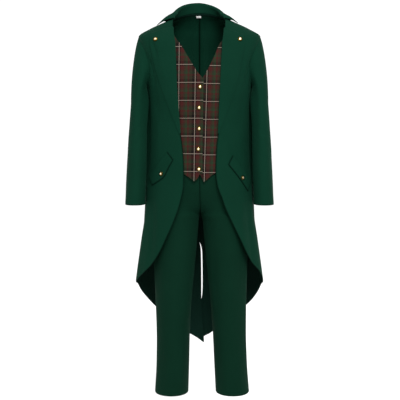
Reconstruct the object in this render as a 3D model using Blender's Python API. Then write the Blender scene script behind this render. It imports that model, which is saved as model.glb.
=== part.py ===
# Hollow dress set, filled out with no wearer: tailcoat, waistcoat and straight trousers.
# Metres. Front towards -Y, up is +Z. The origin lies at the shoulders, where the set is held.
# "right" and "left" are the wearer's own, so right is at -X.
import math

import bmesh
import bpy
import numpy as np

for old in list(bpy.data.objects):
    bpy.data.objects.remove(old, do_unlink=True)

# Cloth thicknesses, and the air left at seams and between layers
COAT_CLOTH = 0.0020
VEST_CLOTH = 0.0016
LEG_CLOTH = 0.0016
SEAM = 0.0003
LAYER = 0.0005
COLUMNS = 8
CREASE = math.radians(35)

SIDES = {"right": -1, "left": 1}


def table(columns, *rows):
    """A short table as one array for each named column."""
    return dict(zip(columns.split(), np.array(rows, float).T))


def read(tab, column, at):
    """A column read as a smooth curve that never overshoots its rows."""
    key = next(iter(tab))
    order = np.argsort(tab[key])
    xs, ys = tab[key][order], tab[column][order]
    step = np.diff(xs)
    slope = np.diff(ys) / step
    tangent = np.zeros(len(xs))
    tangent[0], tangent[-1] = slope[0], slope[-1]
    product = slope[:-1] * slope[1:]
    total = slope[:-1] + slope[1:]
    turning = product > 0
    tangent[1:-1][turning] = 2 * product[turning] / total[turning]
    at = np.clip(at, xs[0], xs[-1])
    k = np.clip(np.searchsorted(xs, at) - 1, 0, len(xs) - 2)
    t = (at - xs[k]) / step[k]
    return (ys[k] * (1 + 2 * t) * (1 - t) ** 2 + tangent[k] * step[k] * t * (1 - t) ** 2
            + ys[k + 1] * t * t * (3 - 2 * t) + tangent[k + 1] * step[k] * t * t * (t - 1))


def ramp(value, start, end):
    """Soft step from 0 at start to 1 at end."""
    t = np.clip((np.asarray(value, float) - start) / (end - start), 0, 1)
    return t * t * (3 - 2 * t)


def material(name, colour, rough, metal=0.0):
    made = bpy.data.materials.new(name)
    made.use_nodes = True
    shader = made.node_tree.nodes["Principled BSDF"]
    shader.inputs["Base Color"].default_value = (*colour, 1)
    shader.inputs["Roughness"].default_value = rough
    shader.inputs["Metallic"].default_value = metal
    return made


def mesh_object(name, verts, faces, mat):
    data = bpy.data.meshes.new(name)
    data.from_pydata([tuple(map(float, v)) for v in verts], [], faces)
    data.materials.append(mat)
    work = bmesh.new()
    work.from_mesh(data)
    bmesh.ops.recalc_face_normals(work, faces=work.faces)
    work.to_mesh(data)
    work.free()
    data.shade_smooth()
    data.set_sharp_from_angle(angle=CREASE)
    made = bpy.data.objects.new(name, data)
    bpy.context.collection.objects.link(made)
    return made


def shell(name, outer, inner, mat, tube=False):
    """A closed sheet between two grids of points; a tube joins its last column to its first."""
    rows, cols = outer.shape[:2]
    verts = np.concatenate([outer.reshape(-1, 3), inner.reshape(-1, 3)])
    base = rows * cols
    last = cols if tube else cols - 1
    faces = []
    for r in range(rows - 1):
        for c in range(last):
            d = (c + 1) % cols
            quad = (r * cols + c, r * cols + d, (r + 1) * cols + d, (r + 1) * cols + c)
            spans = [np.linalg.norm(verts[quad[i]] - verts[quad[i + 2]]) for i in (0, 1)]
            i = int(spans[1] < spans[0])
            for tri in ((quad[i], quad[i + 1], quad[i + 2]), (quad[i + 2], quad[i - 1], quad[i])):
                faces += [tri, tuple(base + corner for corner in reversed(tri))]
    for c in range(last):
        d = (c + 1) % cols
        for r in (0, rows - 1):
            faces.append((r * cols + c, r * cols + d, base + r * cols + d, base + r * cols + c))
    if not tube:
        for r in range(rows - 1):
            for c in (0, cols - 1):
                faces.append((r * cols + c, (r + 1) * cols + c, base + (r + 1) * cols + c,
                              base + r * cols + c))
    return mesh_object(name, verts, faces, mat)


def grid_normals(grid, tube=False):
    """Unit normals of a grid of points, from its own rows and columns."""
    if tube:
        across = np.roll(grid, -1, 1) - np.roll(grid, 1, 1)
    else:
        across = np.gradient(grid, axis=1)
    normal = np.cross(across, np.gradient(grid, axis=0))
    return normal / np.linalg.norm(normal, axis=2, keepdims=True)


# The coat's middle surface, as rings from the neck seam to the tails. "level" is the ring's
# height at the side; it dips by "dip" at centre front and rises by "rise" at centre back, and its
# side seam lies back by "side".
BODY = table(
    "level   half    front   back    dip     rise    power_f power_b side",
    (0.026,  0.0960, 0.0800, 0.0780, 0.045,  0.026,  2.8,    2.2,    0.000),
    (0.010,  0.1300, 0.0970, 0.0990, 0.052,  0.017,  2.5,    2.3,    0.000),
    (-0.010, 0.1740, 0.1070, 0.1130, 0.045,  0.003,  2.5,    2.4,    0.000),
    (-0.041, 0.2195, 0.1130, 0.1220, 0.028,  -0.006, 2.7,    2.6,    0.000),
    (-0.100, 0.2080, 0.1200, 0.1290, 0.010,  -0.004, 2.9,    2.8,    0.000),
    (-0.160, 0.1955, 0.1260, 0.1310, 0.000,  0.000,  2.9,    2.8,    0.004),
    (-0.225, 0.1900, 0.1290, 0.1280, 0.000,  0.000,  2.7,    2.7,    0.010),
    (-0.300, 0.1925, 0.1290, 0.1210, 0.000,  0.000,  2.3,    2.6,    0.022),
    (-0.370, 0.1940, 0.1260, 0.1170, 0.000,  0.000,  2.2,    2.5,    0.026),
    (-0.440, 0.1955, 0.1240, 0.1170, 0.000,  0.000,  2.2,    2.4,    0.026),
    (-0.520, 0.1975, 0.1260, 0.1230, 0.000,  0.000,  2.2,    2.4,    0.026),
    (-0.600, 0.1985, 0.1300, 0.1320, 0.000,  0.000,  2.3,    2.4,    0.022),
    (-0.663, 0.1995, 0.1330, 0.1400, 0.000,  0.000,  2.3,    2.4,    0.016),
    (-0.783, 0.2158, 0.1380, 0.1570, 0.000,  0.000,  2.2,    2.3,    0.012),
    (-0.903, 0.2328, 0.1420, 0.1730, 0.000,  0.000,  2.2,    2.2,    0.010),
    (-0.945, 0.2378, 0.1430, 0.1780, 0.000,  0.000,  2.2,    2.2,    0.010),
    (-1.230, 0.2450, 0.1450, 0.2000, 0.000,  0.000,  2.2,    2.2,    0.010),
)


def body(theta, level):
    """Point of the coat's middle surface; theta is 0 at centre front and 180 at centre back."""
    turn = np.radians(theta)
    sine, cosine = np.sin(turn), np.cos(turn)
    fore = cosine >= 0
    power = np.where(fore, read(BODY, "power_f", level), read(BODY, "power_b", level))
    reach = np.where(fore, read(BODY, "front", level), read(BODY, "back", level))
    lift = np.where(fore, -read(BODY, "dip", level), read(BODY, "rise", level))
    x = read(BODY, "half", level) * np.sign(sine) * np.abs(sine) ** (2 / power)
    y = -reach * np.sign(cosine) * np.abs(cosine) ** (2 / power) + read(BODY, "side", level) * sine ** 2
    return np.stack([x, y, level + lift * cosine ** 2], axis=-1)


NORMAL_STEP = 0.002
BODY_TOP, BODY_END = BODY["level"].max(), BODY["level"].min()


def body_normal(theta, level):
    round_ = body(theta + 0.5, level) - body(theta - 0.5, level)
    lower = np.maximum(level - NORMAL_STEP, BODY_END)
    upper = np.minimum(level + NORMAL_STEP, BODY_TOP)
    normal = np.cross(round_, body(theta, upper) - body(theta, lower))
    return normal / np.linalg.norm(normal, axis=-1, keepdims=True)


def skin(side, theta, level, out):
    """Body point moved out by a distance, on the wearer's right or left."""
    theta, level, out = np.broadcast_arrays(*(np.asarray(a, float) for a in (theta, level, out)))
    point = body(theta, level) + body_normal(theta, level) * out[..., None]
    return point * (side, 1, 1)


def angle(x, level, rear=False):
    """Theta of a point x out from the centre; below zero lies past the centre."""
    power = read(BODY, "power_b" if rear else "power_f", level)
    part = np.clip(np.abs(x) / read(BODY, "half", level), 0, 1) ** (power / 2)
    turn = np.degrees(np.arcsin(part)) * np.sign(x)
    return 180 - turn if rear else turn


def spread(start, end, count=COLUMNS):
    """Rows of values that run from start to end."""
    share = np.linspace(0, 1, count + 1)
    start, end = np.broadcast_arrays(np.asarray(start, float), np.asarray(end, float))
    return start[:, None] + (end - start)[:, None] * share


def panel(name, side, theta, level, out, cloth, mat, seams=()):
    """A cut piece on the body. Each seam is (column, axis, shift), which parts it from the next."""
    level = np.asarray(level, float)
    level = level if level.ndim == 2 else np.repeat(level[:, None], theta.shape[1], 1)
    faces = [skin(side, theta, level, out + half) for half in (cloth / 2, -cloth / 2)]
    for column, axis, shift, top, bottom in seams:
        chosen = (level[:, column] <= top + 1e-6) & (level[:, column] >= bottom - 1e-6)
        for face in faces:
            face[chosen, column, axis] += shift
    return shell(name, *faces, mat)


GREEN = material("green_wool", (0.0060, 0.0500, 0.0240), 0.78)
LEG_GREEN = material("green_trouser", (0.0050, 0.0380, 0.0190), 0.80)
TARTAN = material("tartan_cloth", (0.0900, 0.0130, 0.0110), 0.82)
GOLD = material("gold_button", (0.8000, 0.5200, 0.1600), 0.28, 1.0)
WHITE = material("white_label", (0.7500, 0.7500, 0.7200), 0.70)

# Tailcoat: armholes
TIP, PIT = -0.041, -0.225
ARM_STEPS = 10
ARM_CUT = {"front": 30.0, "back": 30.0}
arm_turn = np.linspace(0, math.pi, ARM_STEPS + 1)
arm_levels = (TIP + PIT) / 2 + (TIP - PIT) / 2 * np.cos(arm_turn)
NECK_LEVELS = np.array([0.026, 0.021, 0.016, 0.010, 0.000, -0.012, -0.026])
BODY_LEVELS = np.array([-0.265, -0.320, -0.380, -0.440, -0.500, -0.550, -0.590, -0.630,
                        -0.680, -0.735, -0.790, -0.845, -0.900])
HEM_LEVELS = np.array([-0.945, -0.985, -1.025, -1.065, -1.110, -1.150, -1.183])
coat_levels = np.concatenate([NECK_LEVELS, arm_levels, BODY_LEVELS])
arm_cut = np.concatenate([0 * NECK_LEVELS, np.sin(arm_turn), 0 * BODY_LEVELS])

# Tailcoat: front edges, as distances out from the centre. The last rows are the cutaway.
FRONT_EDGE = table(
    "level   right   left",
    (0.026,  0.0900, 0.0880),
    (0.010,  0.0910, 0.0850),
    (-0.010, 0.0880, 0.0820),
    (-0.040, 0.0850, 0.0790),
    (-0.100, 0.0825, 0.0765),
    (-0.234, 0.0773, 0.0705),
    (-0.374, 0.0653, 0.0635),
    (-0.522, 0.0550, 0.0567),
    (-0.565, 0.0550, 0.0610),
    (-0.587, 0.0575, 0.0675),
    (-0.615, 0.0638, 0.0790),
    (-0.644, 0.0712, 0.0885),
    (-0.703, 0.0927, 0.1155),
    (-0.762, 0.1189, 0.1435),
    (-0.814, 0.1435, 0.1680),
    (-0.854, 0.1688, 0.1910),
    (-0.891, 0.2010, 0.2180),
    (-0.915, 0.2214, 0.2300),
    (-0.935, 0.2330, 0.2350),
)
FRONT_END = -0.930
LAPEL_OUT = COAT_CLOTH + 0.0008
LAPEL_OPEN = 63.0


def lapel_start(level):
    """Degrees of the lapel's fold at its edge: full above, and only its upper part at its end."""
    return LAPEL_OPEN * ramp(-level, 0.26, 0.38)


def front_edge(side, level):
    """The coat's own edge, which lies a fold's width inside the lapel that turns round it."""
    fold = LAPEL_OUT * np.cos(np.radians(lapel_start(level))) + COAT_CLOTH / 2
    return read(FRONT_EDGE, side, level) + fold * (1 - ramp(-level, 0.385, 0.430))


for side, sign in SIDES.items():
    levels = np.append(coat_levels, FRONT_END)
    cut = np.append(arm_cut, 0)
    theta = spread(angle(front_edge(side, levels), levels), 90 - ARM_CUT["front"] * cut)
    panel(f"coat_front_{side}", sign, theta, levels, 0, COAT_CLOTH, GREEN,
          [(-1, 1, -SEAM / 2, 1, TIP), (-1, 1, -SEAM / 2, PIT, -1)])

# Tailcoat: back, with a centre seam, a vent that gapes above and laps below, and curved tails
VENT = table(
    "level   right    left     hem_right hem_left",
    (-0.780, 0.0000,  0.0000,  0.3000,   0.3000),
    (-0.830, -0.0030, 0.0100,  0.3000,   0.3000),
    (-0.945, -0.0045, 0.0115,  0.2378,   0.2378),
    (-0.987, -0.0050, 0.0115,  0.2230,   0.2250),
    (-1.030, -0.0055, 0.0095,  0.1976,   0.2030),
    (-1.070, -0.0080, 0.0010,  0.1663,   0.1690),
    (-1.120, -0.0120, -0.0040, 0.1130,   0.1130),
    (-1.183, -0.0160, -0.0080, 0.0400,   0.0430),
    (-1.203, -0.0175, -0.0100, 0.0080,   0.0130),
    (-1.220, -0.0180, -0.0100, -0.0140,  0.0130),
)
TAIL_END = {"right": -1.220, "left": -1.203}
VENT_TOP, SIDE_END = -0.790, -0.940
VENT_LAP = 0.0019
for side, sign in SIDES.items():
    levels = np.concatenate([coat_levels, HEM_LEVELS, [TAIL_END[side]]])
    cut = np.append(arm_cut, np.zeros(len(HEM_LEVELS) + 1))
    hem = np.minimum(read(VENT, "hem_" + side, levels), read(BODY, "half", levels))
    side_edge = np.where(levels < SIDE_END, angle(hem, levels, rear=True),
                         90 + ARM_CUT["back"] * cut)
    centre = np.where(levels < VENT_TOP, read(VENT, side, levels), 0)
    theta = spread(angle(centre, levels, rear=True), side_edge)
    lap = sign * VENT_LAP * ramp(-levels, 0.80, 1.02)
    panel(f"coat_back_{side}", sign, theta, levels, lap[:, None], COAT_CLOTH, GREEN,
          [(0, 0, sign * SEAM / 2, 1, VENT_TOP), (-1, 1, SEAM / 2, 1, TIP),
           (-1, 1, SEAM / 2, PIT, SIDE_END)])

# Tailcoat: sleeves, from the armhole to a plain cuff
SLEEVE = table(
    "z       inside  outside front   back",
    (-0.280, 0.1955, 0.2495, 0.0850, 0.0640),
    (-0.370, 0.1932, 0.2555, 0.0930, 0.0470),
    (-0.440, 0.1930, 0.2598, 0.0960, 0.0360),
    (-0.515, 0.1938, 0.2638, 0.0960, 0.0270),
    (-0.580, 0.1960, 0.2672, 0.0940, 0.0200),
    (-0.645, 0.1990, 0.2702, 0.0910, 0.0140),
)
CAP_ROWS, TUBE_ROWS = 7, 6


def armhole(sign):
    """Points of the armhole seam, from the shoulder tip round the front, then up the back."""
    turn = np.concatenate([arm_turn, arm_turn[-2:0:-1]])
    fore = np.arange(len(turn)) <= ARM_STEPS
    levels = (TIP + PIT) / 2 + (TIP - PIT) / 2 * np.cos(turn)
    theta = 90 + np.where(fore, -ARM_CUT["front"], ARM_CUT["back"]) * np.sin(turn)
    point, normal = skin(sign, theta, levels, 0), body_normal(theta, levels) * (sign, 1, 1)
    along = np.roll(point, -1, 0) - np.roll(point, 1, 0)
    inward = np.cross(normal, along)
    inward /= np.linalg.norm(inward, axis=1, keepdims=True)
    facing = np.sum(inward * (point.mean(0) - point), axis=1) < 0
    inward[facing] *= -1
    return turn, fore, point, normal, inward


def sleeve_ring(sign, z, turn, fore):
    """A ring of the sleeve, started on its outside and run round the front."""
    inside, outside = read(SLEEVE, "inside", z), read(SLEEVE, "outside", z)
    front, back = read(SLEEVE, "front", z), read(SLEEVE, "back", z)
    swing = np.sign(np.cos(turn)) * np.abs(np.cos(turn)) ** 0.88
    x = (inside + outside) / 2 + (outside - inside) / 2 * swing
    reach = np.where(fore, -1, 1) * np.sin(turn) ** 0.92
    y = (back - front) / 2 + (back + front) / 2 * reach
    return np.stack([sign * x, y, np.full(len(turn), z)], axis=-1)


for side, sign in SIDES.items():
    turn, fore, seam, normal, inward = armhole(sign)
    first = sleeve_ring(sign, SLEEVE["z"][0], turn, fore)
    drop = (1 + np.cos(turn))[:, None] / 2
    leave = normal * (1.0 - 0.50 * drop) + inward * 0.35 * (1 - drop) + np.array([0, 0, -1.3]) * drop
    leave /= np.linalg.norm(leave, axis=1, keepdims=True)
    along, over = np.sum(leave * inward, axis=1), np.sum(leave * normal, axis=1)
    along, over = (part[:, None] / np.hypot(along, over)[:, None] for part in (along, over))
    start = seam + inward * (SEAM + COAT_CLOTH / 2 * np.abs(over))
    leave *= 0.055 + 0.110 * drop
    arrive = np.array([0, 0, -1]) * (0.09 + 0.13 * drop)
    rows = [start]
    for step in np.linspace(0, 1, CAP_ROWS + 1)[1:]:
        rows.append(start * (1 + 2 * step) * (1 - step) ** 2 + leave * step * (1 - step) ** 2
                    + first * step * step * (3 - 2 * step) + arrive * step * step * (step - 1))
    for z in np.linspace(SLEEVE["z"][0], SLEEVE["z"][-1], TUBE_ROWS + 1)[1:]:
        rows.append(sleeve_ring(sign, z, turn, fore))
    grid = np.array(rows)
    out = grid_normals(grid, tube=True) * sign
    out[0] = normal * along - inward * over
    shell(f"sleeve_{side}", grid + out * COAT_CLOTH / 2, grid - out * COAT_CLOTH / 2, GREEN, tube=True)

# Tailcoat: lapels. Each turns round the coat's edge and lies on its front.
LAPEL = table(
    "roll    outer   right   left",
    (0.014,  -0.022, 0.1730, 0.1560),
    (0.004,  -0.040, 0.1745, 0.1580),
    (-0.008, -0.062, 0.1735, 0.1580),
    (-0.024, -0.088, 0.1700, 0.1560),
    (-0.045, -0.115, 0.1650, 0.1520),
    (-0.075, -0.145, 0.1580, 0.1470),
    (-0.110, -0.175, 0.1500, 0.1400),
    (-0.150, -0.210, 0.1390, 0.1310),
    (-0.195, -0.245, 0.1270, 0.1200),
    (-0.240, -0.280, 0.1140, 0.1080),
    (-0.285, -0.315, 0.1010, 0.0960),
    (-0.325, -0.345, 0.0885, 0.0840),
    (-0.360, -0.370, 0.0785, 0.0745),
    (-0.385, -0.390, 0.0705, 0.0690),
)
FOLD_STEPS = 3
CORNER_LIFT = 0.0010
for side, sign in SIDES.items():
    roll = LAPEL["roll"]
    edge_x = front_edge(side, roll)
    share = np.linspace(0, 1, 8)[1:]
    mids = []
    for part in np.linspace(0, 1, FOLD_STEPS + 1):
        bend = np.radians(lapel_start(roll) * (1 - part) + 90 * part)
        x = edge_x - LAPEL_OUT * np.cos(bend)
        mids.append(skin(sign, angle(x, roll), roll, LAPEL_OUT * np.sin(bend)))
    for part in share:
        level = roll + (LAPEL["outer"] - roll) * part
        x = edge_x + (LAPEL[side] - edge_x) * part
        corner = CORNER_LIFT * ramp(x, 0.10, 0.15) * (1 - ramp(-level, 0.06, 0.11))
        mids.append(skin(sign, angle(x, level), level, LAPEL_OUT + corner))
    grid = np.stack(mids, axis=1)
    out = grid_normals(grid) * -sign
    shell(f"lapel_{side}", grid + out * COAT_CLOTH / 2, grid - out * COAT_CLOTH / 2, GREEN)

# Tailcoat: one turned-down collar. It stands on the neck seam, folds, and falls clear of the
# shoulders. "aim" is the way the fall leaves the neck, in degrees from the side to the back.
COLLAR = table(
    "theta  aim   stand   lean_right lean_left right   left    fall_right fall_left sweep",
    (62.0,  2.0,  0.0060, 0.0010,    0.0010,   0.0680, 0.0520, -0.0190,   -0.0110,  0.018),
    (75.0,  4.0,  0.0150, 0.0000,    -0.0020,  0.0520, 0.0370, -0.0140,   -0.0080,  0.008),
    (90.0,  8.0,  0.0240, -0.0030,   -0.0080,  0.0370, 0.0240, -0.0080,   -0.0030,  0.000),
    (115.0, 38.0, 0.0330, -0.0060,   -0.0130,  0.0280, 0.0190, -0.0080,   -0.0040,  0.000),
    (145.0, 66.0, 0.0385, -0.0020,   -0.0070,  0.0230, 0.0210, -0.0150,   -0.0115,  0.000),
    (180.0, 90.0, 0.0405, 0.0020,    0.0020,   0.0230, 0.0230, -0.0180,   -0.0180,  0.000),
)
COLLAR_FOLD = 0.0036
COLLAR_BASE = 0.0017
COLLAR_ARCH = 0.0045


def collar_profile(stand, lean, reach, fall):
    """Outward and upward steps of the collar's middle line, from its seam to its outer edge."""
    radius = np.minimum(COLLAR_FOLD, stand * 0.45)
    line = [(0 * stand, 0 * stand), (lean * 0.4, (stand - radius) * 0.5), (lean, stand - radius)]
    for bend in (45, 90, 135):
        tilt = math.radians(bend)
        line.append((lean + radius * (1 - math.cos(tilt)), stand - radius + radius * math.sin(tilt)))
    start = line[-1]
    for part in (0.3, 0.65, 1.0):
        arch = COLLAR_ARCH * math.sin(math.pi * part)
        line.append((start[0] + (reach - start[0]) * part, start[1] + (fall - start[1]) * part + arch))
    return line


halves = []
for side, sign in SIDES.items():
    theta = np.array([63, 69, 75, 82, 90, 99, 109, 120, 132, 144, 156, 168, 180], float)
    seam = body(theta, np.full(len(theta), NECK_LEVELS[0])) + (0, 0, COLLAR_BASE)
    aim = np.radians(read(COLLAR, "aim", theta))
    away = np.stack([np.cos(aim), np.sin(aim), 0 * aim], axis=1)
    back = np.stack([0 * aim, np.ones(len(aim)), 0 * aim], axis=1)
    profile = collar_profile(*(read(COLLAR, column, theta)
                               for column in ("stand", "lean_" + side, side, "fall_" + side)))
    steps = []
    for number, (reach, rise) in enumerate(profile):
        swing = read(COLLAR, "sweep", theta)[:, None] * back * max(0, number - 5) / 3
        steps.append((seam + away * reach[:, None] + swing
                      + np.stack([0 * rise, 0 * rise, rise], axis=1)) * (sign, 1, 1))
    halves.append(np.stack(steps, axis=1))
grid = np.concatenate([halves[0], halves[1][-2::-1]])
out = grid_normals(grid)
shell("collar", grid + out * COAT_CLOTH / 2, grid - out * COAT_CLOTH / 2, GREEN)

# Blank woven label, sewn inside the coat's back just under the neck seam
LABEL_HALF = 0.0090
LABEL_SHIFT = -0.0030
LABEL_CLOTH = 0.0010
label_levels = np.array([0.0225, 0.0200, 0.0175])
label_x = np.linspace(LABEL_SHIFT - LABEL_HALF, LABEL_SHIFT + LABEL_HALF, 5)
label_theta = np.array([angle(label_x, level, rear=True) for level in label_levels])
label_out = -(COAT_CLOTH + LABEL_CLOTH) / 2 - 0.0007
panel("neck_label", 1, label_theta, label_levels, label_out, LABEL_CLOTH, WHITE)

# Tailcoat: slanted pocket flaps, laid on the fronts. Rows run down from the pocket's seam.
FLAP = {
    "right": table("along x_top   z_top    x_low   z_low",
                   (0,     0.1132, -0.4516, 0.0921, -0.4800),
                   (0.30,  0.1330, -0.4780, 0.1085, -0.5090),
                   (0.55,  0.1510, -0.5030, 0.1246, -0.5410),
                   (0.80,  0.1700, -0.5280, 0.1470, -0.5600),
                   (1,     0.1815, -0.5460, 0.1680, -0.5740)),
    "left": table("along x_top   z_top    x_low   z_low",
                  (0,     0.1172, -0.4644, 0.1011, -0.4961),
                  (0.30,  0.1360, -0.4900, 0.1190, -0.5190),
                  (0.55,  0.1530, -0.5150, 0.1380, -0.5440),
                  (0.80,  0.1710, -0.5420, 0.1560, -0.5700),
                  (1,     0.1830, -0.5600, 0.1730, -0.5970)),
}
FLAP_OUT = COAT_CLOTH + 0.0008
for side, sign in SIDES.items():
    along = np.linspace(0, 1, 12)
    top = np.stack([read(FLAP[side], "x_top", along), read(FLAP[side], "z_top", along)], axis=1)
    low = np.stack([read(FLAP[side], "x_low", along), read(FLAP[side], "z_low", along)], axis=1)
    rows = np.array([top + (low - top) * part for part in (0, 1 / 3, 2 / 3, 1)])
    panel(f"pocket_flap_{side}", sign, angle(rows[..., 0], rows[..., 1]), rows[..., 1], FLAP_OUT,
          COAT_CLOTH, GREEN)

# Waistcoat: the wearer's right front laps over the left. Its back has a centre seam.
VEST_TIP, VEST_PIT = -0.0120, -0.245
VEST_ARM = {"front": 40.0, "back": 36.0}
VEST_EDGE = table(
    "level   right    left",
    (0.016,  0.0935,  0.0905),
    (-0.010, 0.0820,  0.0790),
    (-0.040, 0.0690,  0.0700),
    (-0.100, 0.0445,  0.0540),
    (-0.140, 0.0250,  0.0390),
    (-0.160, 0.0145,  0.0295),
    (-0.175, 0.0040,  0.0210),
    (-0.190, -0.0095, 0.0117),
    (-0.205, -0.0145, 0.0000),
    (-0.225, -0.0143, -0.0090),
    (-0.300, -0.0130, -0.0110),
    (-0.600, -0.0080, -0.0140),
)
VEST_HEM = table(
    "x        right    left",
    (-0.0250, -0.5300, -0.5100),
    (-0.0100, -0.5280, -0.5100),
    (-0.0057, -0.5267, -0.5200),
    (0.0100,  -0.5460, -0.5420),
    (0.0165,  -0.5520, -0.5570),
    (0.0216,  -0.5551, -0.5560),
    (0.0300,  -0.5500, -0.5500),
    (0.0550,  -0.5340, -0.5310),
    (0.0900,  -0.5180, -0.5180),
    (0.1400,  -0.5080, -0.5080),
    (0.1900,  -0.5050, -0.5050),
)
VEST_LAP = VEST_CLOTH + LAYER
VEST_SHARE = np.array([0, 0.03, 0.06, 0.11, 0.19, 0.31, 0.44, 0.58, 0.72, 0.86, 1])
vest_turn = np.linspace(0, math.pi, 8)
vest_arm = (VEST_TIP + VEST_PIT) / 2 + (VEST_TIP - VEST_PIT) / 2 * np.cos(vest_turn)
vest_levels = np.concatenate([[0.016, 0.010, 0.000], vest_arm, [-0.300, -0.370, -0.440]])
vest_cut = np.concatenate([[0, 0, 0], np.sin(vest_turn), [0, 0, 0]])
HEM_ROWS = 3


def vest_inset(theta, level):
    """Depth of the waistcoat inside the coat: close at the back of the neck, freer elsewhere."""
    loose = np.maximum(ramp(180 - theta, 20, 70), ramp(-np.asarray(level), 0.004, 0.030))
    return (COAT_CLOTH + VEST_CLOTH) / 2 + LAYER + 0.0018 * loose


for side, sign in SIDES.items():
    edge = angle(read(VEST_EDGE, side, vest_levels), vest_levels)
    theta = edge[:, None] + (90 - VEST_ARM["front"] * vest_cut - edge)[:, None] * VEST_SHARE
    levels = np.repeat(vest_levels[:, None], len(VEST_SHARE), 1)
    last = theta[-1:]
    for row in range(1, HEM_ROWS + 1):
        x = read(BODY, "half", -0.5) * np.sign(last) * np.abs(np.sin(np.radians(last))) ** (2 / 2.4)
        hem = read(VEST_HEM, side, x)
        theta = np.vstack([theta, last])
        levels = np.vstack([levels, -0.440 + (hem + 0.440) * row / HEM_ROWS])
    x = body(theta, levels)[..., 0]
    lap = VEST_LAP * (1 - ramp(x, 0.018, 0.050)) if side == "right" else 0
    lap = lap * ramp(-levels, 0.12, 0.17)
    panel(f"vest_front_{side}", sign, theta, levels, lap - vest_inset(theta, levels), VEST_CLOTH,
          TARTAN, [(-1, 1, -SEAM / 2, 1, VEST_TIP), (-1, 1, -SEAM / 2, VEST_PIT, -1)])
    back_levels = np.concatenate([vest_levels, [-0.473, -0.505]])
    back_cut = np.concatenate([vest_cut, [0, 0]])
    theta = spread(180 + 0 * back_levels, 90 + VEST_ARM["back"] * back_cut)
    levels = np.repeat(back_levels[:, None], COLUMNS + 1, 1)
    panel(f"vest_back_{side}", sign, theta, levels, -vest_inset(theta, levels), VEST_CLOTH, GREEN,
          [(0, 0, sign * SEAM / 2, 1, -1), (-1, 1, SEAM / 2, 1, VEST_TIP), (-1, 1, SEAM / 2, VEST_PIT, -1)])

# Trousers: a plain waistband, and a front and back for each leg. "shift" carries both legs over.
WAIST_TOP, WAIST_LOW = -0.402, -0.438
WAIST_FREE = 0.0055
LEG_COLUMNS = 9
waist_front = (92.5 * VEST_SHARE - 2.5)[2:]
waist_half = np.concatenate([[0], waist_front, np.linspace(90, 180, COLUMNS + 1)[1:]])
waist_theta = np.concatenate([waist_half, 360 - waist_half[-2:0:-1]])
waist_out = -(vest_inset(90, -0.42) + (VEST_CLOTH + LEG_CLOTH) / 2 + 0.0007)
faces = []
for half in (LEG_CLOTH / 2, -LEG_CLOTH / 2):
    rows = []
    for level in (WAIST_TOP, -0.420, WAIST_LOW):
        near = skin(1, np.minimum(waist_theta, 360 - waist_theta), level, waist_out + half)
        rows.append(near * np.where(waist_theta > 180, -1, 1)[:, None] ** np.array([1, 0, 0]))
    faces.append(np.array(rows))
shell("trouser_waistband", *faces, LEG_GREEN, tube=True)

TRUNK = table(
    "z       half    front   back",
    (-0.5200, 0.1830, 0.1160, 0.1120),
    (-0.6000, 0.1790, 0.1120, 0.1150),
    (-0.6900, 0.1745, 0.1060, 0.1120),
)
LEG = table(
    "z       inner   outer   front   back    shift",
    (-0.5200, 0.0000, 0.1790, 0.1050, 0.1120, 0.0000),
    (-0.6400, 0.0006, 0.1750, 0.1030, 0.1100, 0.0020),
    (-0.6830, 0.0024, 0.1745, 0.1000, 0.1070, 0.0030),
    (-0.7050, 0.0075, 0.1740, 0.0980, 0.1050, 0.0045),
    (-0.7800, 0.0135, 0.1735, 0.0930, 0.0980, 0.0040),
    (-0.8900, 0.0240, 0.1720, 0.0870, 0.0900, 0.0045),
    (-1.0050, 0.0355, 0.1685, 0.0800, 0.0820, 0.0052),
    (-1.1300, 0.0435, 0.1665, 0.0745, 0.0765, 0.0068),
    (-1.2400, 0.0475, 0.1690, 0.0725, 0.0745, 0.0082),
    (-1.3500, 0.0520, 0.1765, 0.0720, 0.0740, 0.0095),
)
# Rows of a leg: the height at the side, the height at the centre seam, and how far the row has
# turned from half of the hips into one leg
LEG_ROWS = table(
    "side     centre   split",
    (-0.4390, -0.4390, 0.00),
    (-0.4750, -0.4750, 0.00),
    (-0.5250, -0.5250, 0.00),
    (-0.5700, -0.5700, 0.00),
    (-0.6050, -0.6100, 0.03),
    (-0.6300, -0.6400, 0.14),
    (-0.6480, -0.6610, 0.36),
    (-0.6620, -0.6730, 0.62),
    (-0.6740, -0.6790, 0.86),
    (-0.6860, -0.6830, 1.00),
    (-0.7050, -0.7050, 1.00),
    (-0.7700, -0.7700, 1.00),
    (-0.8500, -0.8500, 1.00),
    (-0.9500, -0.9500, 1.00),
    (-1.0400, -1.0400, 1.00),
    (-1.1300, -1.1300, 1.00),
    (-1.2200, -1.2200, 1.00),
    (-1.2900, -1.2900, 1.00),
    (-1.3480, -1.3480, 1.00),
)


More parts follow.
